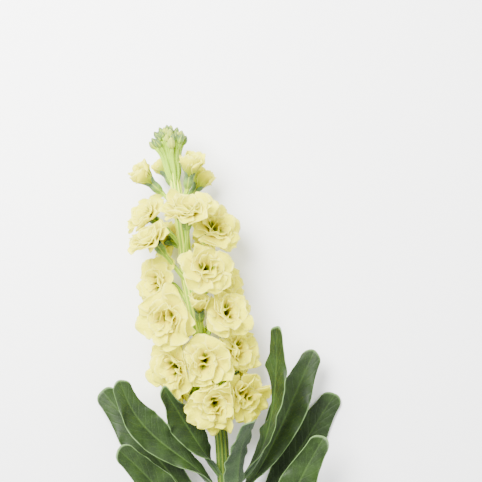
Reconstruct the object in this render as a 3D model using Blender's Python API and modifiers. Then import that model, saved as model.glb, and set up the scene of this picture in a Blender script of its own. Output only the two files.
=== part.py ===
"""Cut stem of double stock (Matthiola), lying on its side as it does on a bench.

The stalk runs along +Y from its cut end to the bud cluster, +Z is up and +X is to the right when the
flower is seen from above with its tip at the top. Sizes and places in the tables are millimetres.
The origin is the middle of the object's box, on the surface that the flower lies on.
"""

import itertools
import math
import random
from collections import namedtuple

import bmesh
import bpy
from mathutils import Matrix, Vector
from mathutils.geometry import normal

MM = 0.001
UP = Vector((0, 0, 1))
COLLECTION = "stock_flower_stem"
CUTTERS = "cutters"
WELD_DISTANCE = 1e-6
NEARLY_MET = 5e-7

# Driving dimensions
STEM_LENGTH = 520.0
CUT_END_Y = -260.3
SHIFT_X = 3.65
STEM_SIDES = 8
STEM_STEP = 20.0
STEM_CLEARANCE = 0.3
PETAL_THICKNESS = 0.7
PETAL_THICKENING = 0.01
LEAF_THICKNESS = 0.9
KEPT_SHARE = {"bloom": 0.47, "stem": 0.64}
SHARP_ANGLE = math.radians(48)

# The stalk's line and radius, each as (distance from the cut end, value)
STEM_BOW = ((0, -9), (150, -6), (290, 0), (325, 2.5), (415, -3.5), (450, -2), (520, -2))
STEM_RISE = ((0, 4.3), (150, 11), (290, 20), (350, 23.5), (430, 25.5), (520, 29.5))
STEM_RADIUS = ((0, 4.6), (200, 4.2), (330, 3.8), (440, 3.9), (485, 3.0), (520, 1.2))

# Flower stalks and calyx cups
PEDICEL_RADIUS = 1.25
PEDICEL_SIDES = 6
PEDICEL_SLOPE = 1.15
PEDICEL_SHORTEST = 6.0
PEDICEL_SUNK = 0.5
PEDICEL_START = (0.28, 0.20)  # shares of its reach: along the stem, and away from it
PEDICEL_END = 0.35
CALYX_LENGTH = 9.0
CALYX_MOUTH = 2.9
CALYX_BELLY = 3.2
CALYX_WALL = 0.6
CALYX_SIDES = 6
CUP_DEPTH = 5.0
CUP_SEAT = 1.2
CORE_GAP = 0.35
CORE_TAPER = 0.2
CORE_TOP = 0.6
HEART_RISE = 1.0

Bloom = namedtuple("Bloom", "height azimuth reach face rise size stage")
# height: of the heart, from the cut end. azimuth: round the stalk, 0 up, 90 right, -90 left.
# reach: of the heart from the stalk's middle. face: the azimuth that the bloom looks along.
# rise: of that look towards the tip, degrees.
BLOOMS = (
    Bloom(344, 2, 22, 2, -10, 19, "open"),
    Bloom(343, 58, 21, 38, -8, 19, "open"),
    Bloom(350, -106, 20, -72, 0, 18, "open"),
    Bloom(351, 122, 20, 100, 0, 17, "open"),
    Bloom(370, 2, 22, -2, 4, 20, "open"),
    Bloom(369, -56, 21, -34, 0, 20, "open"),
    Bloom(370, 78, 20, 46, 4, 18, "open"),
    Bloom(387, -126, 18, -104, 6, 17, "open"),
    Bloom(388, 126, 18, 104, 8, 17, "open"),
    Bloom(395, 58, 23, 34, 10, 19, "open"),
    Bloom(401, -36, 24, -26, 4, 22, "open"),
    Bloom(401, 16, 16, 14, 52, 14, "half"),
    Bloom(413, 104, 20, 60, 14, 18, "open"),
    Bloom(420, -86, 17, -44, 10, 18, "open"),
    Bloom(427, 34, 22, 24, 16, 19, "open"),
    Bloom(436, 140, 17, 116, 24, 15, "open"),
    Bloom(446, -50, 22, -46, 52, 18, "open"),
    Bloom(446, -146, 16, -120, 28, 14, "open"),
    Bloom(449, 76, 20, 34, 26, 19, "open"),
    Bloom(460, 14, 18, 10, 58, 19, "open"),
    Bloom(463, -86, 19, -52, 38, 16, "open"),
    Bloom(477, 116, 14, 96, 50, 14, "half"),
    Bloom(486, 56, 12, 46, 64, 15, "half"),
    Bloom(485, -72, 16, -66, 50, 14, "half"),
    Bloom(489, -156, 12, -140, 60, 12, "half"),
)

Ring = namedtuple("Ring", "count length width tilt flat flare cup")
# length and width are shares of the bloom's size, tilt and flat the petal's angles to the bloom's axis
# at its root and its end, and cup the angle that its edges turn up by.
RINGS = {
    "open": (
        Ring(5, 1.00, 0.50, 42, 98, 2.2, 12),
        Ring(4, 0.80, 0.44, 26, 66, 1.8, 28),
        Ring(2, 0.55, 0.34, 6, 34, 1.2, 50),
    ),
    "half": (
        Ring(5, 1.00, 0.40, 34, 2, 1.5, 42),
        Ring(2, 0.80, 0.30, 12, 2, 1.2, 50),
    ),
}
PETAL_ROWS = (3, 2, 2)
PETAL_COLUMNS = 2
PETAL_TWIST = 14
PETAL_ROUNDING = 0.45
CLAW_HALF_WIDTH = 1.1
CLAW_RADIUS = (1.3, 1.0, 0.7)
GOLDEN_ANGLE = 137.5

# The room that a bloom keeps to among its neighbours
CELL_LIFT = {"open": 3.0, "half": 6.0}
CELL_SHARE = {"open": 0.92, "half": 0.62}
CELL_REACH = 4.0
CELL_GAP, CELL_SOFTNESS = 0.6, 1.2
ROD_GAP, ROD_SOFTNESS = 1.2, 0.5
STALK_GAP, STALK_SOFTNESS = 2.5, 1.0
FLOOR_SOFTNESS = 0.8

# What lies on the surface: the numbers of the blooms that are pressed flat on it, and the least
# height of the middle of a petal there and elsewhere
RESTING_BLOOMS = (4, 8, 9)
PRESSED_HEIGHT, FREE_HEIGHT = -0.3, 1.2

# Closed buds at the tip, from the lowest to the youngest
BUD_COUNT = 18
BUD_FROM, BUD_TO = 492.0, 512.0
BUD_LENGTH = (9.5, 5.5)
BUD_RADIUS = (3.3, 2.0)
BUD_REACH = (9.0, 1.2)
BUD_RISE = (11.0, 6.0)
BUD_LEAN = (30, 6)
BUD_STALK_RADIUS = 0.9
BUD_STALK_DROP = 6.0

Leaf = namedtuple("Leaf", "height azimuth length width base middle tip sweep turn floor")
# base, middle and tip: the midrib's angles to the stalk. sweep: its turn round the stalk. turn: how
# far the upper face turns to the sky. floor: the least height of the blade.
LEAVES = (
    Leaf(110, 95, 100, 11, 46, 34, 46, 6, 0.9, 2.0),
    Leaf(136, 112, 108, 12, 52, 48, 52, 4, 0.9, 2.0),
    Leaf(162, -96, 112, 12, 48, 40, 44, -4, 0.9, 2.0),
    Leaf(175, 104, 114, 12, 46, 34, 40, 4, 0.9, 4),
    Leaf(188, -10, 92, 11, 42, 24, 56, -12, 0.1, 22),
    Leaf(202, -112, 120, 13, 54, 50, 50, -4, 0.9, 2.0),
    Leaf(216, 76, 118, 12, 44, 30, 36, 6, 0.8, 8),
    Leaf(230, -62, 114, 12, 44, 30, 42, -12, 0.6, 14),
    Leaf(243, 116, 124, 13, 52, 42, 44, 4, 0.9, 2.0),
    Leaf(256, -102, 122, 13, 46, 36, 36, -4, 0.9, 3),
    Leaf(262, 22, 84, 10, 44, 18, 50, 20, 0.2, 34),
    Leaf(270, 96, 116, 12, 48, 32, 30, 4, 0.8, 8),
    Leaf(278, -78, 104, 11, 30, 46, 8, -6, 0.7, 10),
    Leaf(284, 66, 118, 10, 62, 20, 4, 4, 0.5, 20),
    Leaf(292, -48, 76, 11, 36, 30, 24, -10, 0.7, 30),
)
LEAF_ROWS = 6
LEAF_COLUMNS = 4
LEAF_ROOT = 0.20
LEAF_FOLD = 0.22
LEAF_WAVE = 0.10
LEAF_WAVES = 1.7
LEAF_ROUNDING = 0.85
LEAF_SUNK = 0.5
LEAF_ROOT_FLOOR = 1.2
LEAF_FLOOR_REACHED = (4, 30)
LEAF_SOFTNESS = 1.5
BLOOM_ROOM, BLOOM_ROOM_MIDDLE, BLOOM_FLATNESS = 1.17, 4.0, 2.0
GROUND_BLOCK = (400, 700, 100)


def through(points, at):
    """Value at `at` of the smooth curve through (position, value) points."""
    last = len(points) - 1
    index = next((i for i in range(last) if at <= points[i + 1][0]), last - 1)
    (x0, y0), (x1, y1) = points[index], points[index + 1]

    def slope(i):
        low, high = points[max(i - 1, 0)], points[min(i + 1, last)]
        return (high[1] - low[1]) / (high[0] - low[0])

    share, run = (at - x0) / (x1 - x0), x1 - x0
    return (
        y0 * (1 + 2 * share) * (1 - share) ** 2
        + slope(index) * run * share * (1 - share) ** 2
        + y1 * share**2 * (3 - 2 * share)
        + slope(index + 1) * run * share**2 * (share - 1)
    )


def ease(low, high, value):
    """Goes from 0 at low to 1 at high with no corner."""
    share = min(max((value - low) / (high - low), 0.0), 1.0)
    return share * share * (3 - 2 * share)


def kept_above(distance, least, softness):
    """The distance, eased so that it never falls below `least`."""
    over = (distance - least) / softness
    return distance if over > 20 else least + softness * math.log1p(math.exp(over))


# The stalk's line
def stem_point(height):
    return Vector((SHIFT_X + through(STEM_BOW, height), CUT_END_Y + height, through(STEM_RISE, height)))


def stem_frame(height):
    """The stalk's direction, its upper side and its right side."""
    along = (stem_point(height + 1) - stem_point(height - 1)).normalized()
    side = along.cross(UP).normalized()
    return along, side.cross(along), side


def outward(height, azimuth):
    _, top, side = stem_frame(height)
    turn = math.radians(azimuth)
    return top * math.cos(turn) + side * math.sin(turn)


# Meshes
def material(name, colour, roughness):
    made = bpy.data.materials.new(name)
    made.use_nodes = True
    surface = made.node_tree.nodes["Principled BSDF"]
    surface.inputs["Base Color"].default_value = (*colour, 1)
    surface.inputs["Roughness"].default_value = roughness
    surface.inputs["Metallic"].default_value = 0
    made.diffuse_color = (*colour, 1)
    return made


def new_object(name, mesh):
    made = bpy.data.objects.new(name, mesh)
    bpy.data.collections[COLLECTION].objects.link(made)
    return made


def evaluated_mesh(obj):
    bpy.context.view_layer.update()
    graph = bpy.context.evaluated_depsgraph_get()
    return bpy.data.meshes.new_from_object(obj.evaluated_get(graph), depsgraph=graph)


def as_mesh(obj):
    """A mesh object in place of a curve or of an object with modifiers, its seams welded."""
    made = new_object(obj.name + "_mesh", evaluated_mesh(obj))
    made.matrix_world = obj.matrix_world.copy()
    bpy.data.objects.remove(obj)
    shape = bmesh.new()
    shape.from_mesh(made.data)
    bmesh.ops.remove_doubles(shape, verts=shape.verts, dist=WELD_DISTANCE)
    bmesh.ops.recalc_face_normals(shape, faces=shape.faces)
    shape.to_mesh(made.data)
    shape.free()
    return made


def largest_body(mesh):
    """Drops what a union leaves loose: scraps, and the walls of hollows that it sealed."""
    shape = bmesh.new()
    shape.from_mesh(mesh)
    left, bodies = set(shape.verts), []
    while left:
        body, front = set(), [left.pop()]
        while front:
            vertex = front.pop()
            body.add(vertex)
            for edge in vertex.link_edges:
                other = edge.other_vert(vertex)
                if other in left:
                    left.remove(other)
                    front.append(other)
        bodies.append(body)
    keep = max(bodies, key=len)
    scraps = [vertex for vertex in shape.verts if vertex not in keep]
    bmesh.ops.delete(shape, geom=scraps, context="VERTS")
    shape.to_mesh(mesh)
    shape.free()


def turned_diagonal(shape, edge):
    """Gives two of the four triangles on this edge, both of one flat face, their other diagonal."""
    for one, other in itertools.permutations(edge.link_faces, 2):
        first, second = edge.verts
        corners = list(one.verts)
        if corners[(corners.index(first) + 1) % 3] is not second:
            continue
        far, near = (next(v for v in face.verts if v not in edge.verts) for face in (one, other))
        if one.normal.dot(other.normal) < 0.999 or shape.edges.get((far, near)):
            continue
        turned = ((far, first, near), (near, second, far))
        if all(normal([v.co for v in ring]).dot(one.normal) > 0.9 for ring in turned):
            shape.faces.remove(one)
            shape.faces.remove(other)
            for ring in turned:
                shape.faces.new(ring).normal_update()
            return


def in_triangles(mesh):
    """Splits a union's many-sided faces, where two of them can take the same diagonal."""
    shape = bmesh.new()
    shape.from_mesh(mesh)
    bmesh.ops.triangulate(shape, faces=shape.faces)
    for edge in [edge for edge in shape.edges if len(edge.link_faces) > 2]:
        turned_diagonal(shape, edge)
    shape.to_mesh(mesh)
    shape.free()


def is_closed(mesh):
    """Whether each edge has two faces, also once the vertices that nearly meet are one."""
    shape = bmesh.new()
    shape.from_mesh(mesh)
    bmesh.ops.remove_doubles(shape, verts=shape.verts, dist=NEARLY_MET)
    whole = all(edge.is_manifold for edge in shape.edges)
    shape.free()
    return whole


def thinned(obj, share):
    """Drops most of the small triangles that a union leaves along its seams, and stays one closed mesh."""
    fewer = obj.modifiers.new("Fewer", "DECIMATE")
    fewer.use_collapse_triangulate = True
    full = obj.data
    while True:
        fewer.ratio = share
        obj.data = full
        mesh = evaluated_mesh(obj)
        if is_closed(mesh) or share > 0.9:
            break
        share += 0.02
    obj.modifiers.clear()
    obj.data = mesh
    bpy.data.meshes.remove(full)


def shaded(mesh):
    """Smooth, but for the rims and the creases."""
    mesh.shade_smooth()
    mesh.set_sharp_from_angle(angle=SHARP_ANGLE)


def fuse(name, pieces, surface, share):
    """One solid of all the pieces, by a union on their collection. Petals meet in slivers that the
    EXACT solver leaves open, so the solver is MANIFOLD."""
    first, rest = pieces[0], pieces[1:]
    group = bpy.data.collections.new(name + "_pieces")
    for piece in rest:
        group.objects.link(piece)
    union = first.modifiers.new("Union", "BOOLEAN")
    union.operation = "UNION"
    union.operand_type = "COLLECTION"
    union.collection = group
    union.solver = "MANIFOLD"
    made = new_object(name, evaluated_mesh(first))
    made.matrix_world = first.matrix_world.copy()
    for piece in pieces:
        bpy.data.objects.remove(piece)
    bpy.data.collections.remove(group)
    largest_body(made.data)
    in_triangles(made.data)
    thinned(made, share)
    made.data.materials.clear()
    made.data.materials.append(surface)
    shaded(made.data)
    return made


def cut(obj, cutter):
    """Takes the cutter's shape out of the object."""
    less = obj.modifiers.new("Less", "BOOLEAN")
    less.operation = "DIFFERENCE"
    less.object = cutter
    mesh = evaluated_mesh(obj)
    obj.modifiers.clear()
    surfaces = list(obj.data.materials)
    obj.data = mesh
    largest_body(obj.data)
    obj.data.materials.clear()
    for surface in surfaces:
        obj.data.materials.append(surface)
    shaded(obj.data)


def tube(name, points, radii, sides):
    """A tapered round tube through the points, in millimetres, with closed ends."""
    curve = bpy.data.curves.new(name, "CURVE")
    curve.dimensions = "3D"
    curve.bevel_depth = MM
    curve.bevel_resolution = (sides - 4) // 2
    curve.use_fill_caps = True
    line = curve.splines.new("POLY")
    line.points.add(len(points) - 1)
    for spot, point, radius in zip(line.points, points, radii):
        spot.co = (*(point * MM), 1)
        spot.radius = radius
    return as_mesh(new_object(name, curve))


def blade(name, rows_of_points, thickness):
    """A thin solid on a grid of points of its middle surface, in millimetres."""
    rows, columns = len(rows_of_points) - 1, len(rows_of_points[0]) - 1
    shape = bmesh.new()
    bmesh.ops.create_grid(shape, x_segments=rows, y_segments=columns, size=1)
    for vertex in shape.verts:
        row = round((vertex.co.x + 1) / 2 * rows)
        column = round((vertex.co.y + 1) / 2 * columns)
        vertex.co = rows_of_points[row][column] * MM
    bmesh.ops.triangulate(shape, faces=shape.faces)
    mesh = bpy.data.meshes.new(name)
    shape.to_mesh(mesh)
    shape.free()
    sheet = new_object(name, mesh)
    shell = sheet.modifiers.new("Thickness", "SOLIDIFY")
    shell.thickness = thickness * MM
    shell.offset = 0
    return as_mesh(sheet)


def blade_rows(start, length, heading, facing, half_width, rounding, relief, rows, columns):
    """Points of a petal's or leaf's middle surface: its midrib follows heading(share), its upper side
    looks along facing(share), and relief(share, across) lifts it from flat."""
    steps_a_row = 6
    steps = rows * steps_a_row
    point, before, found = start.copy(), heading(0), []
    for step in range(steps + 1):
        share = step / steps
        along = heading(share)
        if step:
            point = point + (along + before) * (length / steps / 2)
        before = along
        if step % steps_a_row:
            continue
        face = facing(share)
        face = (face - along * face.dot(along)).normalized()
        sideways = along.cross(face)
        half = half_width(share)
        row = []
        for column in range(columns + 1):
            across = column / columns * 2 - 1
            back = rounding * half * across**2 * ease(0.55, 1, share)
            row.append(
                point + sideways * (across * half) + face * relief(share, across) - along * back
            )
        found.append(row)
    return found


# Blooms
def bloom_frame(bloom):
    """A bloom's heart, its axis and two directions across it."""
    along, _, _ = stem_frame(bloom.height)
    facing = outward(bloom.height, bloom.face)
    rise = math.radians(bloom.rise)
    axis = facing * math.cos(rise) + along * math.sin(rise)
    first = axis.cross(facing.cross(along)).normalized()
    heart = stem_point(bloom.height) + outward(bloom.height, bloom.azimuth) * bloom.reach
    return heart, axis, first, axis.cross(first)


def cell(bloom):
    """Middle and radius of the room that a bloom takes among its neighbours."""
    heart, axis, _, _ = bloom_frame(bloom)
    return heart + axis * CELL_LIFT[bloom.stage], bloom.size * CELL_SHARE[bloom.stage]


def cell_walls(bloom):
    """Planes between a bloom and its neighbours, each as a point and the way into the bloom's side."""
    middle, radius = cell(bloom)
    walls = []
    for other in BLOOMS:
        if other is bloom:
            continue
        centre, other_radius = cell(other)
        apart = centre - middle
        distance = apart.length
        if distance > radius + other_radius + CELL_REACH:
            continue
        share = 0.5 + (radius**2 - other_radius**2) / (2 * distance**2)
        walls.append((middle + apart * min(max(share, 0.25), 0.75), -apart / distance))
    return walls


def stalk_rods(bloom):
    """The pedicel and the cup under a bloom as rods, each as two ends and a radius."""
    line, mouth, axis = flower_stalk_line(bloom)
    rods = [(start, end, PEDICEL_RADIUS) for start, end in zip(line, line[1:])]
    return rods + [(mouth - axis * CALYX_LENGTH, mouth - axis * 2, CALYX_BELLY)]


def rods_near(bloom):
    """The rods of the other blooms that may be in the way of this bloom's petals."""
    heart, _, _, _ = bloom_frame(bloom)
    rods = [rod for other in BLOOMS if other is not bloom for rod in stalk_rods(other)]
    return [rod for rod in rods if (rod[1] - heart).length < 1.6 * bloom.size + 6]


def off_rod(point, rod, gap):
    start, end, radius = rod
    run = end - start
    share = min(max((point - start).dot(run) / run.length_squared, 0), 1)
    apart = point - (start + run * share)
    least = radius + gap
    if apart.length > 3 * least:
        return point
    return point + apart.normalized() * (kept_above(apart.length, least, ROD_SOFTNESS) - apart.length)


def bent_clear(point, walls, rods, floor):
    """A petal's point, eased off its neighbours, their stalks, the main stalk and the surface below."""
    for _ in range(2):
        for spot, inward in walls:
            distance = (point - spot).dot(inward)
            point = point + inward * (kept_above(distance, CELL_GAP, CELL_SOFTNESS) - distance)
    height = min(max(point.y - CUT_END_Y, 0), STEM_LENGTH)
    away = point - stem_point(height)
    least = through(STEM_RADIUS, height) + STALK_GAP
    if 0 < away.length < 3 * least:
        moved = kept_above(away.length, least, STALK_SOFTNESS) - away.length
        point = point + away.normalized() * moved
    for rod in rods:
        point = off_rod(point, rod, ROD_GAP)
    point.z = kept_above(point.z, floor, FLOOR_SOFTNESS)
    return point


def petal_rows(bloom, ring, ring_index, petal, walls, rods, rows, columns):
    resting = BLOOMS.index(bloom) + 1 in RESTING_BLOOMS
    floor = PRESSED_HEIGHT if resting else FREE_HEIGHT
    draw = random.Random(f"{bloom.height}-{ring_index}-{petal}")
    heart, axis, first, second = bloom_frame(bloom)
    turn = math.radians(
        360 * petal / ring.count + GOLDEN_ANGLE * (ring_index + bloom.height) + draw.uniform(-9, 9)
    )
    away = first * math.cos(turn) + second * math.sin(turn)
    tilt = math.radians(ring.tilt)
    flat = math.radians(ring.flat + draw.uniform(-6, 6))
    length = bloom.size * ring.length * draw.uniform(0.9, 1.08)
    width = bloom.size * ring.width * draw.uniform(0.9, 1.1)
    cup = math.radians(ring.cup + draw.uniform(-8, 12))
    twist = math.radians(PETAL_TWIST + draw.uniform(-5, 5))
    wave, phase = draw.uniform(0.03, 0.07) * length, draw.uniform(0, 2 * math.pi)

    def angle(share):
        return tilt + (flat - tilt) * (1 - (1 - share) ** ring.flare)

    def heading(share):
        return axis * math.cos(angle(share)) + away * math.sin(angle(share))

    def facing(share):
        level = axis * math.sin(angle(share)) - away * math.cos(angle(share))
        return Matrix.Rotation(twist * ease(0, 0.7, share), 3, heading(share)) @ level

    def half_width(share):
        spread = ease(0.02, 0.72, share) * (1 - 0.3 * ease(0.75, 1, share))
        return CLAW_HALF_WIDTH + (width - CLAW_HALF_WIDTH) * spread

    def relief(share, across):
        lift = width * cup / 2 * across**2 * ease(0.1, 0.6, share)
        return lift + wave * ease(0.3, 1, share) * math.sin(2.2 * across + 3 * share + phase)

    start = heart - axis * CORE_TOP + away * CLAW_RADIUS[ring_index]
    found = blade_rows(
        start, length, heading, facing, half_width, PETAL_ROUNDING, relief, rows, columns
    )
    free = found[1:]
    return [found[0]] + [[bent_clear(p, walls, rods, floor) for p in row] for row in free]


def bloom_pieces(bloom, thickness):
    walls, rods = cell_walls(bloom), rods_near(bloom)
    heart, axis, _, _ = bloom_frame(bloom)
    foot = heart - axis * (HEART_RISE + CUP_DEPTH - CORE_GAP)
    bore = CALYX_MOUTH - CALYX_WALL - CORE_GAP
    points = [foot, heart - axis * HEART_RISE, heart + axis * CORE_TOP]
    pieces = [tube("core", points, [bore, bore, bore - CORE_TAPER], CALYX_SIDES)]
    for ring_index, ring in enumerate(RINGS[bloom.stage]):
        for petal in range(ring.count):
            rows = petal_rows(
                bloom, ring, ring_index, petal, walls, rods, PETAL_ROWS[ring_index], PETAL_COLUMNS
            )
            pieces.append(blade("petal", rows, thickness))
    return pieces


def build_bloom(number, bloom, surface, ground):
    """Where the petals' union doesn't close, it is made again with petals that are a hair thicker."""
    for more in range(9):
        pieces = bloom_pieces(bloom, PETAL_THICKNESS + PETAL_THICKENING * more)
        made = fuse(f"bloom_{number:02d}", pieces, surface, KEPT_SHARE["bloom"])
        if number in RESTING_BLOOMS:
            cut(made, ground)
        if is_closed(made.data):
            return made
        bpy.data.objects.remove(made)
    raise RuntimeError(f"bloom {number} doesn't close")


# The stalk with what grew on it
def stood_along(spot, axis):
    """The place of a shape whose own Z axis comes to lie along `axis`."""
    return Matrix.Translation(spot * MM) @ axis.to_track_quat("Z", "Y").to_matrix().to_4x4()


def calyx():
    """A green cup, turned from its profile, mouth up at z 0."""
    inner, floor = CALYX_MOUTH - CALYX_WALL, -CUP_DEPTH
    profile = (
        (0, floor),
        (inner, floor),
        (inner, 0),
        (CALYX_MOUTH, 0),
        (CALYX_BELLY, -0.55 * CALYX_LENGTH),
        (0.75 * CALYX_BELLY, -0.9 * CALYX_LENGTH),
        (0.3 * CALYX_BELLY, -CALYX_LENGTH),
        (0, -CALYX_LENGTH),
    )
    mesh = bpy.data.meshes.new("calyx")
    edges = [(i, i + 1) for i in range(len(profile) - 1)]
    mesh.from_pydata([(x * MM, 0, z * MM) for x, z in profile], edges, [])
    cup = new_object("calyx", mesh)
    turned = cup.modifiers.new("Turned", "SCREW")
    turned.steps = turned.render_steps = CALYX_SIDES
    turned.use_merge_vertices = True
    turned.merge_threshold = WELD_DISTANCE
    return as_mesh(cup)


def pedicel_line(foot_height, azimuth, end, axis, steps):
    """A stalk's line from inside the stem to `end`, which it reaches along `axis`."""
    along, _, _ = stem_frame(foot_height)
    away = outward(foot_height, azimuth)
    start = stem_point(foot_height) + away * (PEDICEL_SUNK * through(STEM_RADIUS, foot_height))
    reach = (end - start).length
    first = start + (along * PEDICEL_START[0] + away * PEDICEL_START[1]) * reach
    second = end - axis * (PEDICEL_END * reach)
    found = []
    for step in range(steps + 1):
        t = step / steps
        found.append(
            start * (1 - t) ** 3
            + first * (3 * t * (1 - t) ** 2)
            + second * (3 * t**2 * (1 - t))
            + end * t**3
        )
    return found


def flower_stalk_line(bloom):
    """The line of a bloom's pedicel, the middle of its cup's mouth and the way that the cup looks."""
    heart, axis, _, _ = bloom_frame(bloom)
    mouth = heart - axis * HEART_RISE
    base = mouth - axis * (CALYX_LENGTH - CUP_SEAT)
    distance = (base - stem_point(base.y - CUT_END_Y)).length
    foot_height = base.y - CUT_END_Y - max(PEDICEL_SHORTEST, PEDICEL_SLOPE * distance)
    return pedicel_line(foot_height, bloom.azimuth, base, axis, 3), mouth, axis


def flower_stalk(bloom):
    """The pedicel and calyx cup that carry a bloom."""
    line, mouth, axis = flower_stalk_line(bloom)
    cup = calyx()
    cup.matrix_world = stood_along(mouth, axis)
    return [tube("pedicel", line, [PEDICEL_RADIUS] * len(line), PEDICEL_SIDES), cup]


def bud_place(number):
    """The middle, direction, length and radius of a closed bud, and where its stalk leaves the stem."""
    share = number / (BUD_COUNT - 1)

    def between(ends):
        return ends[0] + (ends[1] - ends[0]) * share

    height = BUD_FROM + (BUD_TO - BUD_FROM) * share
    azimuth = GOLDEN_ANGLE * number
    along, _, _ = stem_frame(height)
    away = outward(height, azimuth)
    middle = stem_point(height + between(BUD_RISE)) + away * between(BUD_REACH)
    lean = math.radians(between(BUD_LEAN))
    axis = along * math.cos(lean) + away * math.sin(lean)
    return middle, axis, between(BUD_LENGTH), between(BUD_RADIUS), height, azimuth


def closed_bud(number):
    middle, axis, length, radius, height, azimuth = bud_place(number)
    shape = bmesh.new()
    bmesh.ops.create_uvsphere(shape, u_segments=6, v_segments=4, radius=MM)
    stretch = Matrix.Diagonal((radius, radius, length / 2, 1))
    bmesh.ops.transform(shape, matrix=stretch, verts=shape.verts)
    mesh = bpy.data.meshes.new("bud")
    shape.to_mesh(mesh)
    shape.free()
    bud = new_object("bud", mesh)
    bud.matrix_world = stood_along(middle, axis)
    foot = middle - axis * (0.4 * length)
    line = pedicel_line(height - BUD_STALK_DROP, azimuth, foot, axis, 2)
    return [bud, tube("bud_stalk", line, [BUD_STALK_RADIUS] * len(line), 4)]


def stem_tube(name, extra):
    """The main stalk, or with `extra` a sleeve that clears it."""
    count = round(STEM_LENGTH / STEM_STEP)
    heights = [STEM_LENGTH * i / count for i in range(count + 1)]
    radii = [through(STEM_RADIUS, h) + extra for h in heights]
    return tube(name, [stem_point(h) for h in heights], radii, STEM_SIDES)


def build_stem(surface):
    pieces = [stem_tube("stalk", 0)]
    for bloom in BLOOMS:
        pieces += flower_stalk(bloom)
    for number in range(BUD_COUNT):
        pieces += closed_bud(number)
    return fuse("stem", pieces, surface, KEPT_SHARE["stem"])


# Leaves
def leaf_rows(leaf, rows, columns):
    draw = random.Random(f"leaf-{leaf.height}")
    along, _, _ = stem_frame(leaf.height)
    phase = draw.uniform(0, 2 * math.pi)
    root = outward(leaf.height, leaf.azimuth) * (LEAF_SUNK * through(STEM_RADIUS, leaf.height))

    def heading(share):
        angle = math.radians(
            through(((0, leaf.base), (0.45, leaf.middle), (1, leaf.tip)), share)
        )
        away = outward(leaf.height, leaf.azimuth + leaf.sweep * share)
        return along * math.cos(angle) + away * math.sin(angle)

    def facing(share):
        away = outward(leaf.height, leaf.azimuth + leaf.sweep * share)
        inner = along - away
        turned = leaf.turn * ease(0.02, 0.4, share)
        return inner.normalized() * (1 - turned) + UP * turned

    def half_width(share):
        return leaf.width * (
            LEAF_ROOT + (1 - LEAF_ROOT) * ease(0.05, 0.66, share) * (1 - 0.42 * ease(0.74, 1, share))
        )

    def relief(share, across):
        fold = LEAF_FOLD * leaf.width * abs(across) * ease(0, 0.3, share) * (1 - 0.5 * share)
        side = 1.3 if across > 0 else 0
        wave = math.sin(2 * math.pi * LEAF_WAVES * share + phase + side) * across**2
        return fold + LEAF_WAVE * leaf.width * wave * ease(0.15, 0.5, share)

    start = stem_point(leaf.height) + root
    found = blade_rows(
        start, leaf.length, heading, facing, half_width, LEAF_ROUNDING, relief, rows, columns
    )
    return [found[0]] + [[leaf_bent_clear(p, leaf) for p in row] for row in found[1:]]


def leaf_bent_clear(point, leaf):
    """A leaf's point, eased off the blooms' flattened rooms and the surface below."""
    for bloom in BLOOMS:
        heart, axis, _, _ = bloom_frame(bloom)
        middle = heart + axis * BLOOM_ROOM_MIDDLE
        apart = point - middle
        along = apart.dot(axis)
        distance = math.hypot(BLOOM_FLATNESS * along, (apart - axis * along).length)
        least = BLOOM_ROOM * bloom.size + LEAF_SOFTNESS
        if distance < 2 * least:
            point = middle + apart * (kept_above(distance, least, LEAF_SOFTNESS) / distance)
    away = point - stem_point(min(max(point.y - CUT_END_Y, 0), STEM_LENGTH))
    floor = LEAF_ROOT_FLOOR + (leaf.floor - LEAF_ROOT_FLOOR) * ease(*LEAF_FLOOR_REACHED, away.length)
    point.z = kept_above(point.z, floor, LEAF_SOFTNESS)
    return point


def build_leaf(number, leaf, surface, sleeve):
    rows = leaf_rows(leaf, LEAF_ROWS, LEAF_COLUMNS)
    made = blade("leaf", rows, LEAF_THICKNESS)
    made.name = f"leaf_{number:02d}"
    made.data.materials.append(surface)
    cut(made, sleeve)
    return made


# Cutters
def as_cutter(obj):
    for group in obj.users_collection:
        group.objects.unlink(obj)
    bpy.data.collections[CUTTERS].objects.link(obj)
    obj.hide_render = True
    obj.display_type = "WIRE"
    return obj


def ground_block():
    """What lies below the surface, to cut flat spots where the stem rests."""
    size = Vector(GROUND_BLOCK) * MM
    bpy.ops.mesh.primitive_cube_add(size=1, location=(0, 0, -size.z / 2))
    block = bpy.context.object
    block.name = "ground"
    block.scale = size
    return block


def main():
    for old in list(bpy.data.objects):
        bpy.data.objects.remove(old)
    for name in (COLLECTION, CUTTERS):
        bpy.context.scene.collection.children.link(bpy.data.collections.new(name))
    green = material("stem_green", (0.36, 0.50, 0.18), 0.5)
    leaf_green = material("leaf_green", (0.10, 0.19, 0.09), 0.55)
    yellow = material("petal_yellow", (0.93, 0.83, 0.42), 0.6)

    sleeve = as_cutter(stem_tube("sleeve", STEM_CLEARANCE))
    ground = as_cutter(ground_block())
    cut(build_stem(green), ground)
    for number, bloom in enumerate(BLOOMS, 1):
        build_bloom(number, bloom, yellow, ground)
    for number, leaf in enumerate(LEAVES, 1):
        build_leaf(number, leaf, leaf_green, sleeve)


main()
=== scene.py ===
"""Cut stem of double stock: ruffled petals, felted cups and buds, a ribbed stalk and spoon-shaped leaves.

It is laid out as an add-on and run as a script. Lengths in the tables and settings are millimetres. The
stalk runs along +Y to its tip, +Z is up, and the flower is seen from straight above.
"""

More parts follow.
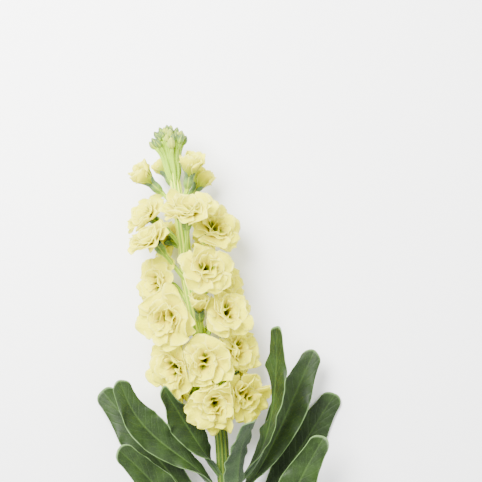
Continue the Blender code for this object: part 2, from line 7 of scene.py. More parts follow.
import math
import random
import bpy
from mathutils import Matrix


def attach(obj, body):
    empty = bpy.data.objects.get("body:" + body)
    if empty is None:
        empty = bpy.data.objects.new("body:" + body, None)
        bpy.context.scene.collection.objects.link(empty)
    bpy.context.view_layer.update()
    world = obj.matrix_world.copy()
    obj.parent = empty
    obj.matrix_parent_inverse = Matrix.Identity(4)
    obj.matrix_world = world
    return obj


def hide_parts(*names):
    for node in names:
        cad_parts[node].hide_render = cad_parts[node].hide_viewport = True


bl_info = {
    "name": "Stock Flower Stem",
    "version": (1, 0, 0),
    "blender": (4, 5, 0),
    "location": "View3D > Sidebar > Stock",
    "description": "Dresses a cut stock flower stem with petals, leaves, cups, buds and felt",
    "category": "Add Mesh",
}

from collections import namedtuple
from functools import partialmethod

import bpy
import numpy as np
from mathutils import Vector

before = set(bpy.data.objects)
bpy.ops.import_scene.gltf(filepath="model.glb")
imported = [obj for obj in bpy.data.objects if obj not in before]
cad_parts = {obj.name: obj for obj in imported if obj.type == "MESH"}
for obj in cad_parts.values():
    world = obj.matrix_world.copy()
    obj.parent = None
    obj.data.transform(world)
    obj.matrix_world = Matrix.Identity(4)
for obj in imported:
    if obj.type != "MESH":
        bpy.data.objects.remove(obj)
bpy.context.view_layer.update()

MM = 0.001
ROOT = "root"
UP = np.array((0.0, 0.0, 1.0))

# The stalk's line and radius, each as (distance from the cut end, value)
STEM_LENGTH = 520.0
CUT_END_Y = -260.3
SHIFT_X = 3.65
STEM_BOW = ((0, -9), (150, -6), (290, 0), (325, 2.5), (415, -3.5), (450, -2), (520, -2))
STEM_RISE = ((0, 4.3), (150, 11), (290, 20), (350, 23.5), (430, 25.5), (520, 29.5))
STEM_RADIUS = ((0, 4.6), (200, 4.2), (330, 3.8), (440, 3.9), (485, 3.0), (520, 1.2))

Bloom = namedtuple("Bloom", "height azimuth reach face rise size stage", defaults=("open",))
# height: of the heart, from the cut end. azimuth: round the stalk, 0 up, 90 right, -90 left.
# reach: of the heart from the stalk's middle. face: the azimuth that the bloom looks along.
# rise: of that look towards the tip, degrees. stage: open where a row gives none.
BLOOMS = (
    Bloom(344, 2, 22, 2, -10, 19),
    Bloom(343, 58, 21, 38, -8, 19),
    Bloom(350, -106, 20, -72, 0, 18),
    Bloom(351, 122, 20, 100, 0, 17),
    Bloom(370, 2, 22, -2, 4, 20),
    Bloom(369, -56, 21, -34, 0, 20),
    Bloom(370, 78, 20, 46, 4, 18),
    Bloom(387, -126, 18, -104, 6, 17),
    Bloom(388, 126, 18, 104, 8, 17),
    Bloom(395, 58, 23, 34, 10, 19),
    Bloom(401, -36, 24, -26, 4, 22),
    Bloom(401, 16, 16, 14, 52, 14, "half"),
    Bloom(413, 104, 20, 60, 14, 18),
    Bloom(420, -86, 17, -44, 10, 18),
    Bloom(427, 34, 22, 24, 16, 19),
    Bloom(436, 140, 17, 116, 24, 15),
    Bloom(446, -50, 22, -46, 52, 18, "rising"),
    Bloom(446, -146, 16, -120, 28, 14),
    Bloom(449, 76, 20, 34, 26, 19),
    Bloom(460, 14, 18, 10, 58, 19, "rising"),
    Bloom(463, -86, 19, -52, 38, 16),
    Bloom(477, 116, 14, 96, 50, 14, "half"),
    Bloom(486, 56, 12, 46, 64, 15, "half"),
    Bloom(485, -72, 16, -66, 50, 14, "half"),
    Bloom(489, -156, 12, -140, 60, 12, "half"),
)

# How far the two tufts of inner petals stand from the middle, as a share of the bloom's size
TUFT = 0.2

Ring = namedtuple("Ring", "index count length width tilt flat flare cup ruffle apart rows columns")
# index: the place from the outermost ring in. length and width are shares of the bloom's size, tilt
# and flat the petal's angles to the bloom's axis at its root and its end, cup the angle that its edges
# turn up by, and ruffle the depth of its ruffles as a share of the deepest. Petals of a ring with an
# apart grow in two tufts, that share of the size from the middle.
RINGS = {
    "open": (
        Ring(0, 5, 1.07, 0.52, 42, 98, 2.2, 8, 1.0, 0, 20, 22),
        Ring(0.5, 4, 0.94, 0.50, 36, 86, 2.0, 12, 1.1, 0, 20, 20),
        Ring(1, 3, 0.74, 0.46, 28, 66, 1.8, 16, 1.1, 0, 18, 18),
        Ring(1.5, 4, 0.58, 0.38, 20, 54, 1.6, 20, 1.0, 0, 16, 16),
        Ring(2, 6, 0.50, 0.29, 17, 54, 1.5, 30, 0.9, TUFT, 16, 14),
    ),
    "rising": (
        Ring(0, 5, 1.04, 0.56, 38, 74, 2.2, 14, 1.0, 0, 20, 22),
        Ring(0.5, 3, 0.97, 0.56, 30, 62, 2.0, 18, 1.0, 0, 20, 20),
        Ring(1, 4, 0.86, 0.50, 24, 52, 1.8, 20, 1.0, 0, 18, 18),
        Ring(1.5, 4, 0.76, 0.40, 18, 42, 1.6, 22, 0.9, 0, 16, 16),
        Ring(2, 6, 0.64, 0.32, 14, 36, 1.5, 30, 0.9, TUFT, 16, 14),
    ),
    "half": (
        Ring(0, 5, 1.06, 0.42, 30, 12, 1.5, 40, 0.45, 0, 20, 18),
        Ring(0.5, 4, 1.04, 0.38, 22, 5, 1.4, 42, 0.5, 0, 18, 16),
        Ring(1, 4, 0.90, 0.32, 12, 4, 1.2, 42, 0.6, 0.06, 16, 14),
    ),
}

# How petals stand in their bloom, with angles in degrees. The parting is the line of the two tufts, and
# petals of a tuft that lean inward stand more upright and shorter.
GOLDEN_ANGLE = 137.5
PARTING = 40
BESIDE_TUFTS, BESIDE_TURN, BESIDE_STEP = 1.5, 65, 50
INWARD_UPRIGHT, INWARD_SHORTER = 0.9, 0.2
CLAW_RADIUS = ((0, 1.3), (1, 1.0), (2, 0.7), (3, 0.4))
CLAW_HALF_WIDTH = 1.1
CLAW_SUNK = 0.6
HALF_OPEN_CLAW = 1.0

# What each petal draws for itself, from least to most: angles in degrees, the wave as a share of its
# length, the notch of its width, and the crease in millimetres
PETAL_DRAWS = {
    "turn": (-9, 9),
    "flat": (-6, 6),
    "length": (0.86, 1.08),
    "width": (0.9, 1.1),
    "cup": (-8, 12),
    "twist": (-5, 5),
    "wave": (0.04, 0.09),
    "phase": (0, 2 * math.pi),
    "ruffle": (0.6, 1.4),
    "folds": (0.75, 1.25),
    "crease": (0.3, 1.1),
    "curl": (-34, 30),
    "notch": (0, 0.2),
    "tone": (-0.08, 0.08),
}

# Where each form of a petal grows from nothing to its full measure, as shares of its length
PETAL_SPANS = {
    "spread": (0.02, 0.72),
    "narrowing": (0.75, 1),
    "curl": (0.6, 1),
    "twist": (0, 0.7),
    "cup": (0.1, 0.6),
    "wave": (0.3, 1),
    "side rim": (0.15, 0.5),
    "end rim": (0.55, 1),
    "crease": (0.1, 0.4),
    "notch": (0.8, 1),
    "moving": (0, 0.25),
}
PETAL_TWIST = 14
PETAL_ROUNDING, HALF_OPEN_ROUNDING = 0.45, 0.95
NARROWING = 0.3
COMMON_WIDTH = 9.0
WAVE_ACROSS, WAVE_ALONG = 2.2, 3.0
SIDE_RIM_POWER, END_RIM_POWER = 2.4, 1.6
FAN_WIDTH, FAN_ROOT = 0.8, 0.3
CREASE_WIDTH, NOTCH_WIDTH = 0.12, 0.3
# Ruffles lift the rim and slips push it in and out, each wave as (times the ruffle count, height)
RUFFLES = ((1, 1.0), (2.3, 0.22))
SLIPS = ((2.1, 0.35), (4.3, 0.2))

# What a ring's index, a half open bloom and a young one add to a petal's green, and the painted shade in
# the tufts' pits
RING_TONE, HALF_OPEN_TONE = 1 / 6, 0.5
YOUNG_TONE, YOUNG_HEIGHTS = 0.3, (400, 470)
# Painted shade in the pits: its width and the heights over which it fades, as shares of the bloom's size,
# and its strength
PIT_SHADE_WIDTH, PIT_SHADE_HEIGHTS, PIT_SHADE = 0.14, (0.3, 0.65), 0.9

# The room that a bloom keeps to among its neighbours, and how petals ease off what is in their way
CELL_LIFT = {"open": 3.0, "rising": 5.0, "half": 6.0}
CELL_SHARE = {"open": 0.92, "rising": 0.9, "half": 0.62}
CELL_REACH = 4.0
CELL_LEAN = 0.3
WALL_SHARES = (0.25, 0.75)
CELL_GAP, CELL_SOFTNESS = 0.35, 0.9
ROD_STEPS, ROD_SHORT = 3, 2.0
ROD_REACH, ROD_MARGIN = 1.6, 6.0
ROD_GAP, ROD_SOFTNESS = 0.7, 0.5
STALK_GAP, STALK_SOFTNESS = 1.6, 1.0
PUSHED_WITHIN = 3
LOWEST, FLOOR_SOFTNESS = 0.25, 0.8
RESTING = 0.02

# Petals and blades as sheets: steps of the midrib to a row, and the arc that rounds their ends
MIDRIB_STEPS = 6
END_SPAN, END_ARC, END_ARC_DEPTH = (0.55, 1), 0.97, 0.83

# The main stalk, and its cut end as rings, each as (share of the outline, how much of it is pith)
STALK_ROWS, STALK_SIDES = 240, 54
STALK_SHORT, STALK_INSET = 4.0, 0.3
RIB_TWIST = 0.006
OVAL, OVAL_TWIST = 0.4, 0.02
SWELL, SWELL_HEIGHTS, BROADENING = 0.6, (420, 490), 0.08
CUT_RINGS = ((0.05, 1), (0.35, 1), (0.65, 1), (0.86, 0.9), (0.97, 0.4))

SmallStalk = namedtuple("SmallStalk", "radius foot top steps sides")
# foot and top: what it widens by at its ends, as shares of the radius.
FLOWER_STALK = SmallStalk(1.25, 0.45, 0.35, 16, 16)
BUD_STALK = SmallStalk(0.8, 0.5, 0.5, 10, 12)
SMALL_RIBS, SMALL_RIB_DEPTH = 5, 0.07
SMALL_TOP = (0.75, 1)
PEDICEL_SLOPE = 1.15
PEDICEL_SHORTEST = 6.0
PEDICEL_SUNK = 0.5
PEDICEL_START = (0.28, 0.20)
PEDICEL_END = 0.35

# Calyx cups: the profile as (share of the length, radius), and by stage how far the tips spread and rise
CALYX_LENGTH = 9.0
CALYX_BELLY = 3.2
CUP_SEAT = 1.2
HEART_RISE = 1.0
CUP_ROWS, TIP_ROWS, CUP_SIDES = 16, 5, 40
CUP_PROFILE = ((0, 0.9), (0.12, 1.9), (0.3, 2.75), (0.55, CALYX_BELLY), (0.8, 3.05), (1, 2.95))
CUP_SEAM, CUP_SEAM_DEPTH = 0.16, 0.22
SEPAL_SWELL, SEPAL_POWER, TIP_POWER = 0.05, 0.6, 1.6
SEPAL_TIPS = {"open": (2.5, 2.7), "rising": (4.6, 3.4), "half": (1.4, 3.8)}
CUP_DEPTH = 4.0

# Closed buds at the tip, with values for the lowest and the youngest
BUD_COUNT = 44
BUD_HEIGHT = (489.0, 509.0)
BUD_LENGTH = (7.4, 3.8)
BUD_RADIUS = (2.3, 1.3)
BUD_REACH, BUD_REACH_POWER = (0.5, 10.8), 0.6
BUD_RISE = (19.0, 8.0)
BUD_LEAN = (38, 6)
BUD_DRAWS = {"azimuth": (-10, 10), "rise": (-1.2, 1.2), "lean": (-12, 12), "size": (0.82, 1.12)}
BUD_TONES = (-0.3, 0.6)
BUD_ROWS, BUD_SIDES = 16, 24
BUD_ENDS, BUD_FOOT_POWER, BUD_BELLY_POWER = (0.03, 0.985), 0.85, 0.7
BUD_SEAM, BUD_SEAM_DEPTH = 0.2, 0.09
BUD_SEAT = 0.4
BUD_STALK_DROP = 8.0

# Felt: the shares of its hairs on the stalk, small stalks, cups and buds, how a hair is made, and the
# direction, far from most hairs', that its sides are taken from
FELT_SEED = 11
HAIR_SHARES = (0.26, 0.14, 0.3, 0.3)
HAIR_RADIUS, HAIR_LEAN, HAIR_SHORTEST = 0.05, 0.6, 0.5
FELTED_ROWS = 14
HAIR_ASIDE = np.array((0.31, 0.57, 0.76))

Leaf = namedtuple("Leaf", "height azimuth length width base middle tip sweep turn floor")
# base, middle and tip: the midrib's angles to the stalk. sweep: its turn round the stalk. turn: how
# far the upper face turns to the sky. floor: the least height of the blade.
LEAVES = (
    Leaf(110, 95, 100, 11, 46, 34, 46, 6, 0.9, 2.0),
    Leaf(136, 112, 108, 12, 52, 48, 52, 4, 0.9, 2.0),
    Leaf(162, -96, 112, 12, 48, 40, 44, -4, 0.9, 2.0),
    Leaf(175, 104, 114, 12, 46, 34, 40, 4, 0.9, 4),
    Leaf(188, -10, 92, 11, 42, 24, 56, -12, 0.1, 22),
    Leaf(202, -112, 120, 13, 54, 50, 50, -4, 0.9, 2.0),
    Leaf(216, 76, 118, 12, 44, 30, 36, 6, 0.8, 8),
    Leaf(230, -62, 114, 12, 44, 30, 42, -12, 0.6, 14),
    Leaf(243, 116, 124, 13, 52, 42, 44, 4, 0.9, 2.0),
    Leaf(256, -102, 122, 13, 46, 36, 36, -4, 0.9, 3),
    Leaf(262, 22, 84, 10, 44, 18, 50, 20, 0.2, 34),
    Leaf(270, 96, 116, 12, 48, 32, 30, 4, 0.8, 8),
    Leaf(278, -78, 104, 11, 30, 46, 8, -6, 0.7, 10),
    Leaf(284, 66, 118, 10, 62, 20, 4, 4, 0.5, 20),
    Leaf(292, -48, 76, 11, 36, 30, 24, -10, 0.7, 30),
)
LEAF_ROWS, LEAF_COLUMNS = 56, 22
LEAF_MIDDLE = 0.45
LEAF_ROOT = 0.20
LEAF_SUNK = 0.5
LEAF_ROUNDING = 0.85
LEAF_POINT = 0.55
LEAF_FOLD, FOLD_LOSS = 0.22, 0.5
LEAF_WAVE, LEAF_WAVES = 0.14, 1.7
LEAF_RIPPLES, SECOND_RIPPLE = (34, 61), 0.6
OTHER_SIDE = 1.3
LEAF_SLIP, LEAF_SLIPS = 0.3, 4
GROOVE_DEPTH, GROOVE_WIDTH, GROOVE_LOSS = 0.35, 0.07, 0.7
MIDRIB_WIDTH, MIDRIB_TAPER, RIM_THINNING = 0.09, 0.8, 0.5
# Where each form of a leaf grows from nothing to its full measure, as shares of its length or half width
LEAF_SPANS = {
    "turn": (0.02, 0.4),
    "spread": (0.05, 0.66),
    "point": (0.7, 1),
    "fold": (0, 0.3),
    "wave": (0.15, 0.5),
    "ripple": (0.15, 0.4),
    "still end": (0.85, 1),
    "moving": (0, 0.16),
    "thin rim": (0.6, 1),
}
LEAF_ROOT_FLOOR = 1.2
LEAF_FLOOR_REACHED = (4, 30)
LEAF_SOFTNESS = 1.5
BLOOM_ROOM, BLOOM_ROOM_MIDDLE, BLOOM_FLATNESS, BLOOM_ROOM_WITHIN = 1.17, 4.0, 2.0, 2

# The stage: where the camera looks, and lamps as name, place from there, size and share of the power,
# with the places and sizes in metres
VIEW_TARGET = (37.5, 179.2, 30.0)
FLOOR_SIZE = 6.0
LAMPS = (("key", (-0.26, 0.40, 0.62), 0.5, 1.0), ("fill", (0.5, -0.1, 0.7), 0.8, 0.15))


# Lines and easing, on numbers and arrays alike
def through(points, at):
    """Value at `at` of the smooth curve through (position, value) points."""
    x, y = np.array(points, float).T
    slopes = np.gradient(y, x, edge_order=1)
    slopes[1:-1] = (y[2:] - y[:-2]) / (x[2:] - x[:-2])
    at = np.asarray(at, float)
    i = np.clip(np.searchsorted(x, at) - 1, 0, len(x) - 2)
    run = x[i + 1] - x[i]
    share = (at - x[i]) / run
    return (
        y[i] * (1 + 2 * share) * (1 - share) ** 2
        + slopes[i] * run * share * (1 - share) ** 2
        + y[i + 1] * share**2 * (3 - 2 * share)
        + slopes[i + 1] * run * share**2 * (share - 1)
    )


def ease(low, high, value):
    """Goes from 0 at low to 1 at high with no corner."""
    share = np.clip((value - low) / (high - low), 0.0, 1.0)
    return share * share * (3 - 2 * share)


def kept_above(distance, least, softness):
    """The distance, eased so that it never falls below `least`."""
    return least + softness * np.logaddexp(0, (distance - least) / softness)


def bell(value, width):
    """1 at 0, falling smoothly to almost nothing at twice the width."""
    return np.exp(-((value / width) ** 2))


def waves(table, turn, phases):
    """Sum of the waves in a table of (times the turn, height), one phase for each."""
    return sum(height * np.sin(times * turn + phase) for (times, height), phase in zip(table, phases))


def length_of(vectors):
    return np.linalg.norm(vectors, axis=-1, keepdims=True)


def unit(vectors):
    return vectors / length_of(vectors)


def dot(a, b):
    return np.sum(a * b, axis=-1, keepdims=True)


def towards(first, second, angle):
    """The direction at an angle from the first one towards the second, for a number or an array."""
    angle = np.asarray(angle)[..., None]
    return first * np.cos(angle) + second * np.sin(angle)


def around(sides):
    """Angles evenly round a turn."""
    return np.arange(sides) * 2 * math.pi / sides


def places_of(*values):
    """The three values at each point. A single number, row or column stands for all that it meets."""
    return np.stack(np.broadcast_arrays(*values), axis=-1)


# The stalk's line
def stem_point(height):
    height = np.asarray(height, float)
    x = SHIFT_X + through(STEM_BOW, height)
    return np.stack([x, CUT_END_Y + height, through(STEM_RISE, height)], axis=-1)


def height_of(points):
    """How far up the stalk points lie."""
    return np.clip(points[..., 1] - CUT_END_Y, 0, STEM_LENGTH)


def stem_frame(height):
    """The stalk's direction, its upper side and its right side."""
    along = unit(stem_point(height + 1) - stem_point(height - 1))
    side = unit(np.cross(along, UP))
    return along, np.cross(side, along), side


def outward(height, azimuth):
    _, top, side = stem_frame(height)
    return towards(top, side, np.radians(azimuth))


# Blooms and the room that each has
def bloom_frame(bloom):
    """A bloom's heart, its axis and two directions across it."""
    along, _, _ = stem_frame(bloom.height)
    facing = outward(bloom.height, bloom.face)
    axis = towards(facing, along, math.radians(bloom.rise))
    first = unit(np.cross(axis, np.cross(facing, along)))
    heart = stem_point(bloom.height) + outward(bloom.height, bloom.azimuth) * bloom.reach
    return heart, axis, first, np.cross(axis, first)


def cell(bloom):
    """Middle and radius of the room that a bloom takes among its neighbours."""
    heart, axis, _, _ = bloom_frame(bloom)
    return heart + axis * CELL_LIFT[bloom.stage], bloom.size * CELL_SHARE[bloom.stage]


def cell_walls(bloom):
    """Planes between a bloom and its neighbours, each as a point and the way into the bloom's side.
    They slant, so that the petals of the bloom later in the table, mostly the one nearer the tip, lean
    over those of the other."""
    middle, radius = cell(bloom)
    looks = bloom_frame(bloom)[1]
    walls = []
    for other in BLOOMS:
        if other is bloom:
            continue
        centre, other_radius = cell(other)
        apart = centre - middle
        distance = np.linalg.norm(apart)
        if distance > radius + other_radius + CELL_REACH:
            continue
        share = 0.5 + (radius**2 - other_radius**2) / (2 * distance**2)
        lean = CELL_LEAN if BLOOMS.index(other) > BLOOMS.index(bloom) else -CELL_LEAN
        slanted = apart / distance + unit(looks + bloom_frame(other)[1]) * lean
        walls.append((middle + apart * np.clip(share, *WALL_SHARES), -unit(slanted)))
    return walls


def stalk_rods(bloom):
    """The pedicel and the cup under a bloom as rods, each as two ends and a radius."""
    line = flower_stalk_line(bloom, ROD_STEPS)
    mouth, axis = cup_mouth(bloom)
    rods = [(start, end, FLOWER_STALK.radius) for start, end in zip(line, line[1:])]
    return rods + [(mouth - axis * CALYX_LENGTH, mouth - axis * ROD_SHORT, CALYX_BELLY)]


def rods_near(bloom):
    """The rods of the other blooms that may be in the way of this bloom's petals."""
    heart = bloom_frame(bloom)[0]
    near = ROD_REACH * bloom.size + ROD_MARGIN
    rods = [rod for other in BLOOMS if other is not bloom for rod in stalk_rods(other)]
    return [rod for rod in rods if np.linalg.norm(rod[1] - heart) < near]


def pushed_off(points, apart, least, softness):
    """Points moved along `apart`, their way from a line, where they come nearer to it than `least`."""
    distance = np.maximum(length_of(apart), 1e-6)
    moved = kept_above(distance, least, softness) - distance
    return points + apart / distance * np.where(distance < PUSHED_WITHIN * least, moved, 0)


def bent_clear(points, walls, rods):
    """A petal's points, eased off its neighbours, their stalks, the main stalk and the surface below.
    The walls come twice, because easing a point off one may push it through another."""
    for spot, inward in walls + walls:
        distance = dot(points - spot, inward)
        points = points + inward * (kept_above(distance, CELL_GAP, CELL_SOFTNESS) - distance)
    height = height_of(points)
    least = through(STEM_RADIUS, height)[..., None] + STALK_GAP
    points = pushed_off(points, points - stem_point(height), least, STALK_SOFTNESS)
    for start, end, radius in rods:
        run = end - start
        share = np.clip(dot(points - start, run) / (run @ run), 0, 1)
        points = pushed_off(points, points - start - run * share, radius + ROD_GAP, ROD_SOFTNESS)
    points[..., 2] = kept_above(points[..., 2], LOWEST, FLOOR_SOFTNESS)
    return points


# Petals
def sheet_points(start, length, form, rounding, rows, columns):
    """Grid of points of a petal's or leaf's surface, with each row's share of the length and each
    column's place across from -1 to 1. Its form is four functions: the midrib follows heading, the
    upper side looks along facing, half_width spreads it and relief lifts it from flat. Rounding draws
    back the corners of its end."""
    heading, facing, half_width, relief = form
    fine = np.linspace(0, 1, rows * MIDRIB_STEPS + 1)
    steps = heading(fine)
    run = np.cumsum((steps[1:] + steps[:-1]) * (length / rows / MIDRIB_STEPS / 2), axis=0)
    middle = start + np.vstack([np.zeros(3), run])[::MIDRIB_STEPS]
    share = fine[::MIDRIB_STEPS]
    along = steps[::MIDRIB_STEPS]
    face = facing(share)
    face = unit(face - along * dot(face, along))
    sideways = np.cross(along, face)
    half = half_width(share)[:, None]
    across = np.linspace(-1, 1, columns + 1)[None, :]
    share = share[:, None]
    arc = (1 - np.sqrt(1 - END_ARC * across**2)) / END_ARC_DEPTH
    back = rounding * half * arc * ease(*END_SPAN, share)
    lift, slip = relief(share, across)
    points = (
        middle[:, None]
        + sideways[:, None] * (across * half)[..., None]
        + face[:, None] * lift[..., None]
        + along[:, None] * (slip - back)[..., None]
    )
    return points, share, across


def petal(bloom, ring, number, walls, rods, look):
    """One ruffled petal: its points and, for its colours, each point's share, lowered near the tufts' pits
    as painted shade, place across and tone.
    """
    draw = random.Random(f"{bloom.height}-{ring.index}-{number}")

    def drawn(name):
        return draw.uniform(*PETAL_DRAWS[name])

    def grown(name, share):
        return ease(*PETAL_SPANS[name], share)

    half_open = bloom.stage == "half"
    middle, axis, first, second = bloom_frame(bloom)
    parting = GOLDEN_ANGLE * bloom.height + PARTING
    turn = 360 * number / ring.count + GOLDEN_ANGLE * (ring.index + bloom.height) + drawn("turn")
    if ring.index == BESIDE_TUFTS:
        turn = parting + BESIDE_TURN + BESIDE_STEP * (number % 2) + 180 * (number // 2) + drawn("turn")
    away = towards(first, second, math.radians(turn))
    aside = towards(first, second, math.radians(parting))
    tuft = aside * (1 if number % 2 else -1)
    inward = max(0.0, -float(away @ tuft)) if ring.apart else 0.0
    tilt = math.radians(ring.tilt)
    flat = math.radians((ring.flat + drawn("flat")) * (1 - INWARD_UPRIGHT * inward))
    length = bloom.size * ring.length * drawn("length") * (1 - INWARD_SHORTER * inward)
    width = bloom.size * ring.width * drawn("width")
    cup = math.radians(ring.cup + drawn("cup"))
    twist = math.radians(PETAL_TWIST + drawn("twist"))
    wave = drawn("wave") * length
    phase = drawn("phase")
    ruffle = look.ruffle_depth / MM * ring.ruffle * drawn("ruffle") * width / COMMON_WIDTH
    folds = look.ruffle_count * drawn("folds")
    phases = [drawn("phase") for _ in RUFFLES + SLIPS]
    crease = drawn("crease")
    curl = math.radians(drawn("curl")) * ring.ruffle
    notch = drawn("notch") * width

    def angle(share):
        return tilt + (flat - tilt) * (1 - (1 - share) ** ring.flare) + curl * grown("curl", share)

    def heading(share):
        return towards(axis, away, angle(share))

    def facing(share):
        level = towards(-away, axis, angle(share))
        return towards(level, np.cross(heading(share), level), twist * grown("twist", share))

    def half_width(share):
        spread = grown("spread", share) * (1 - NARROWING * grown("narrowing", share))
        return CLAW_HALF_WIDTH + (width - CLAW_HALF_WIDTH) * spread

    def relief(share, across):
        lift = width * cup / 2 * across**2 * grown("cup", share)
        swing = np.sin(WAVE_ACROSS * across + WAVE_ALONG * share + phase)
        lift = lift + wave * grown("wave", share) * swing
        side_rim = np.abs(across) ** SIDE_RIM_POWER * grown("side rim", share)
        rim = 1 - (1 - side_rim) * (1 - grown("end rim", share) ** END_RIM_POWER)
        fan = folds * np.arctan2(across * FAN_WIDTH, share - FAN_ROOT)
        lift = lift + ruffle * rim * waves(RUFFLES, fan, phases)
        lift = lift - crease * bell(across, CREASE_WIDTH) * grown("crease", share) * (1 - share)
        slip = rim * waves(SLIPS, fan, phases[len(RUFFLES):]) * width / COMMON_WIDTH
        return lift, slip - notch * bell(across, NOTCH_WIDTH) * grown("notch", share)

    claw = through(CLAW_RADIUS, ring.index) + HALF_OPEN_CLAW * half_open
    start = middle + tuft * ring.apart * bloom.size - axis * CLAW_SUNK + away * claw
    rounding = HALF_OPEN_ROUNDING if half_open else PETAL_ROUNDING
    form = heading, facing, half_width, relief
    points, share, across = sheet_points(start, length, form, rounding, ring.rows, ring.columns)
    clear = bent_clear(points, walls, rods)
    points = points + (clear - points) * grown("moving", share)[..., None]
    tone = ring.index * RING_TONE + HALF_OPEN_TONE * half_open + drawn("tone")
    tone = tone + YOUNG_TONE * ease(*YOUNG_HEIGHTS, bloom.height)
    # Painted shade: near the tufts' pits the share that picks the colours is lowered, so the pits' walls
    # take the dark heart colour
    depth = share
    if not half_open:
        for side in (TUFT, -TUFT):
            apart = (points - middle) / bloom.size - aside * side
            above = dot(apart, axis)
            pit_shade = bell(length_of(apart - axis * above), PIT_SHADE_WIDTH) * (1 - ease(*PIT_SHADE_HEIGHTS, above))
            depth = depth * (1 - PIT_SHADE * pit_shade[..., 0])
    return points, places_of(depth, across, tone)


# Stalk, flower stalks, cups and buds
def across_axis(axis):
    """Two directions square to an axis."""
    first = unit(np.cross(axis, UP + 0.01))
    return first, np.cross(axis, first)


def rings_along(line, radius, sides):
    """Rings of points round a line, at radius(share, turn) from it, with each ring's share of the line
    and the turns of the points in a ring."""
    along = unit(np.gradient(line, axis=0))
    first, _ = across_axis(along[0])
    shares = np.linspace(0, 1, len(line))
    turn = around(sides)
    rings = []
    for spot, direction, share in zip(line, along, shares):
        first = unit(first - direction * (first @ direction))
        spokes = towards(first, np.cross(direction, first), turn)
        rings.append(spot + spokes * radius(share, turn)[:, None])
    return np.array(rings), shares[:, None], turn


def turned_about(origin, axis, heights, radii, turn):
    """Rings about an axis, from the points' heights along it, distances from it and turns."""
    spokes = towards(*across_axis(axis), turn)
    return origin + axis * heights[..., None] + spokes * radii[..., None]


def stalk_rings(look):
    """The ribbed main stalk from its cut face to just below its tip."""

    def crest_at(turn, height):
        return np.cos(look.ribs * turn + RIB_TWIST * height)

    def radius(share, turn):
        height = share * STEM_LENGTH
        swell = 1 + SWELL * ease(*SWELL_HEIGHTS, height)
        rib = crest_at(turn, height) + OVAL * np.cos(2 * turn + OVAL_TWIST * height)
        raised = through(STEM_RADIUS, height) + look.rib_depth / MM * swell * rib
        return raised * (1 + BROADENING * swell) - STALK_INSET

    line = stem_point(np.linspace(0, STEM_LENGTH - STALK_SHORT, STALK_ROWS))
    rings, share, turn = rings_along(line, radius, STALK_SIDES)
    rings[..., 2] = np.maximum(rings[..., 2], RESTING)
    places = places_of(share, 0.5 + 0.5 * crest_at(turn, share * STEM_LENGTH), 0)
    cut = [line[0] + (rings[0] - line[0]) * scale for scale, _ in CUT_RINGS]
    cut_places = [np.broadcast_to((0.0, 0.0, pith), rings[0].shape) for _, pith in CUT_RINGS]
    return np.concatenate([cut, rings]), np.concatenate([cut_places, places])


def pedicel_line(foot_height, azimuth, end, axis, steps):
    """A stalk's line from inside the stem to `end`, which it reaches along `axis`."""
    along, _, _ = stem_frame(foot_height)
    away = outward(foot_height, azimuth)
    start = stem_point(foot_height) + away * (PEDICEL_SUNK * through(STEM_RADIUS, foot_height))
    reach = np.linalg.norm(end - start)
    first = start + (along * PEDICEL_START[0] + away * PEDICEL_START[1]) * reach
    second = end - axis * (PEDICEL_END * reach)
    t = np.linspace(0, 1, steps + 1)[:, None]
    return (
        start * (1 - t) ** 3
        + first * (3 * t * (1 - t) ** 2)
        + second * (3 * t**2 * (1 - t))
        + end * t**3
    )


def cup_mouth(bloom):
    """The middle of a cup's mouth and the way that the cup looks."""
    heart, axis, _, _ = bloom_frame(bloom)
    return heart - axis * HEART_RISE, axis


def flower_stalk_line(bloom, steps):
    """The line of a bloom's pedicel, from inside the stem into its cup."""
    mouth, axis = cup_mouth(bloom)
    base = mouth - axis * (CALYX_LENGTH - CUP_SEAT)
    height = base[1] - CUT_END_Y
    distance = np.linalg.norm(base - stem_point(height))
    foot_height = height - max(PEDICEL_SHORTEST, PEDICEL_SLOPE * distance)
    return pedicel_line(foot_height, bloom.azimuth, base, axis, steps)


def bud_place(number):
    """The middle, direction, length and radius of a closed bud, and where its stalk leaves the stem."""
    draw = random.Random(f"bud-{number}")
    share = number / (BUD_COUNT - 1)

    def drawn(name):
        return draw.uniform(*BUD_DRAWS[name])

    def between(ends, share=share):
        return ends[0] + (ends[1] - ends[0]) * share

    height = between(BUD_HEIGHT)
    azimuth = GOLDEN_ANGLE * number + drawn("azimuth")
    along, _, _ = stem_frame(height)
    away = outward(height, azimuth)
    reach = between(BUD_REACH, (1 - share) ** BUD_REACH_POWER)
    middle = stem_point(height + between(BUD_RISE) + drawn("rise")) + away * reach
    axis = towards(along, away, math.radians(between(BUD_LEAN) + drawn("lean")))
    size = drawn("size")
    return middle, axis, size * between(BUD_LENGTH), size * between(BUD_RADIUS), height, azimuth


def small_stalk(line, kind):
    """Rings of a flower's or a bud's stalk, widened at both ends."""

    def radius(share, turn):
        flare = kind.foot * (1 - share) ** 3 + kind.top * ease(*SMALL_TOP, share)
        return kind.radius * (1 + flare) + SMALL_RIB_DEPTH * np.cos(SMALL_RIBS * turn)

    rings, share, turn = rings_along(line, radius, kind.sides)
    return rings, places_of(0.75 + 0.25 * share, 0.35 + 0.35 * np.cos(SMALL_RIBS * turn), 0)


def small_stalks():
    """The flower stalks, then the stalks of the buds."""
    made = [small_stalk(flower_stalk_line(bloom, FLOWER_STALK.steps), FLOWER_STALK) for bloom in BLOOMS]
    for number in range(BUD_COUNT):
        middle, axis, length, _, height, azimuth = bud_place(number)
        end = middle - axis * (BUD_SEAT * length)
        line = pedicel_line(height - BUD_STALK_DROP, azimuth, end, axis, BUD_STALK.steps)
        made.append(small_stalk(line, BUD_STALK))
    return made


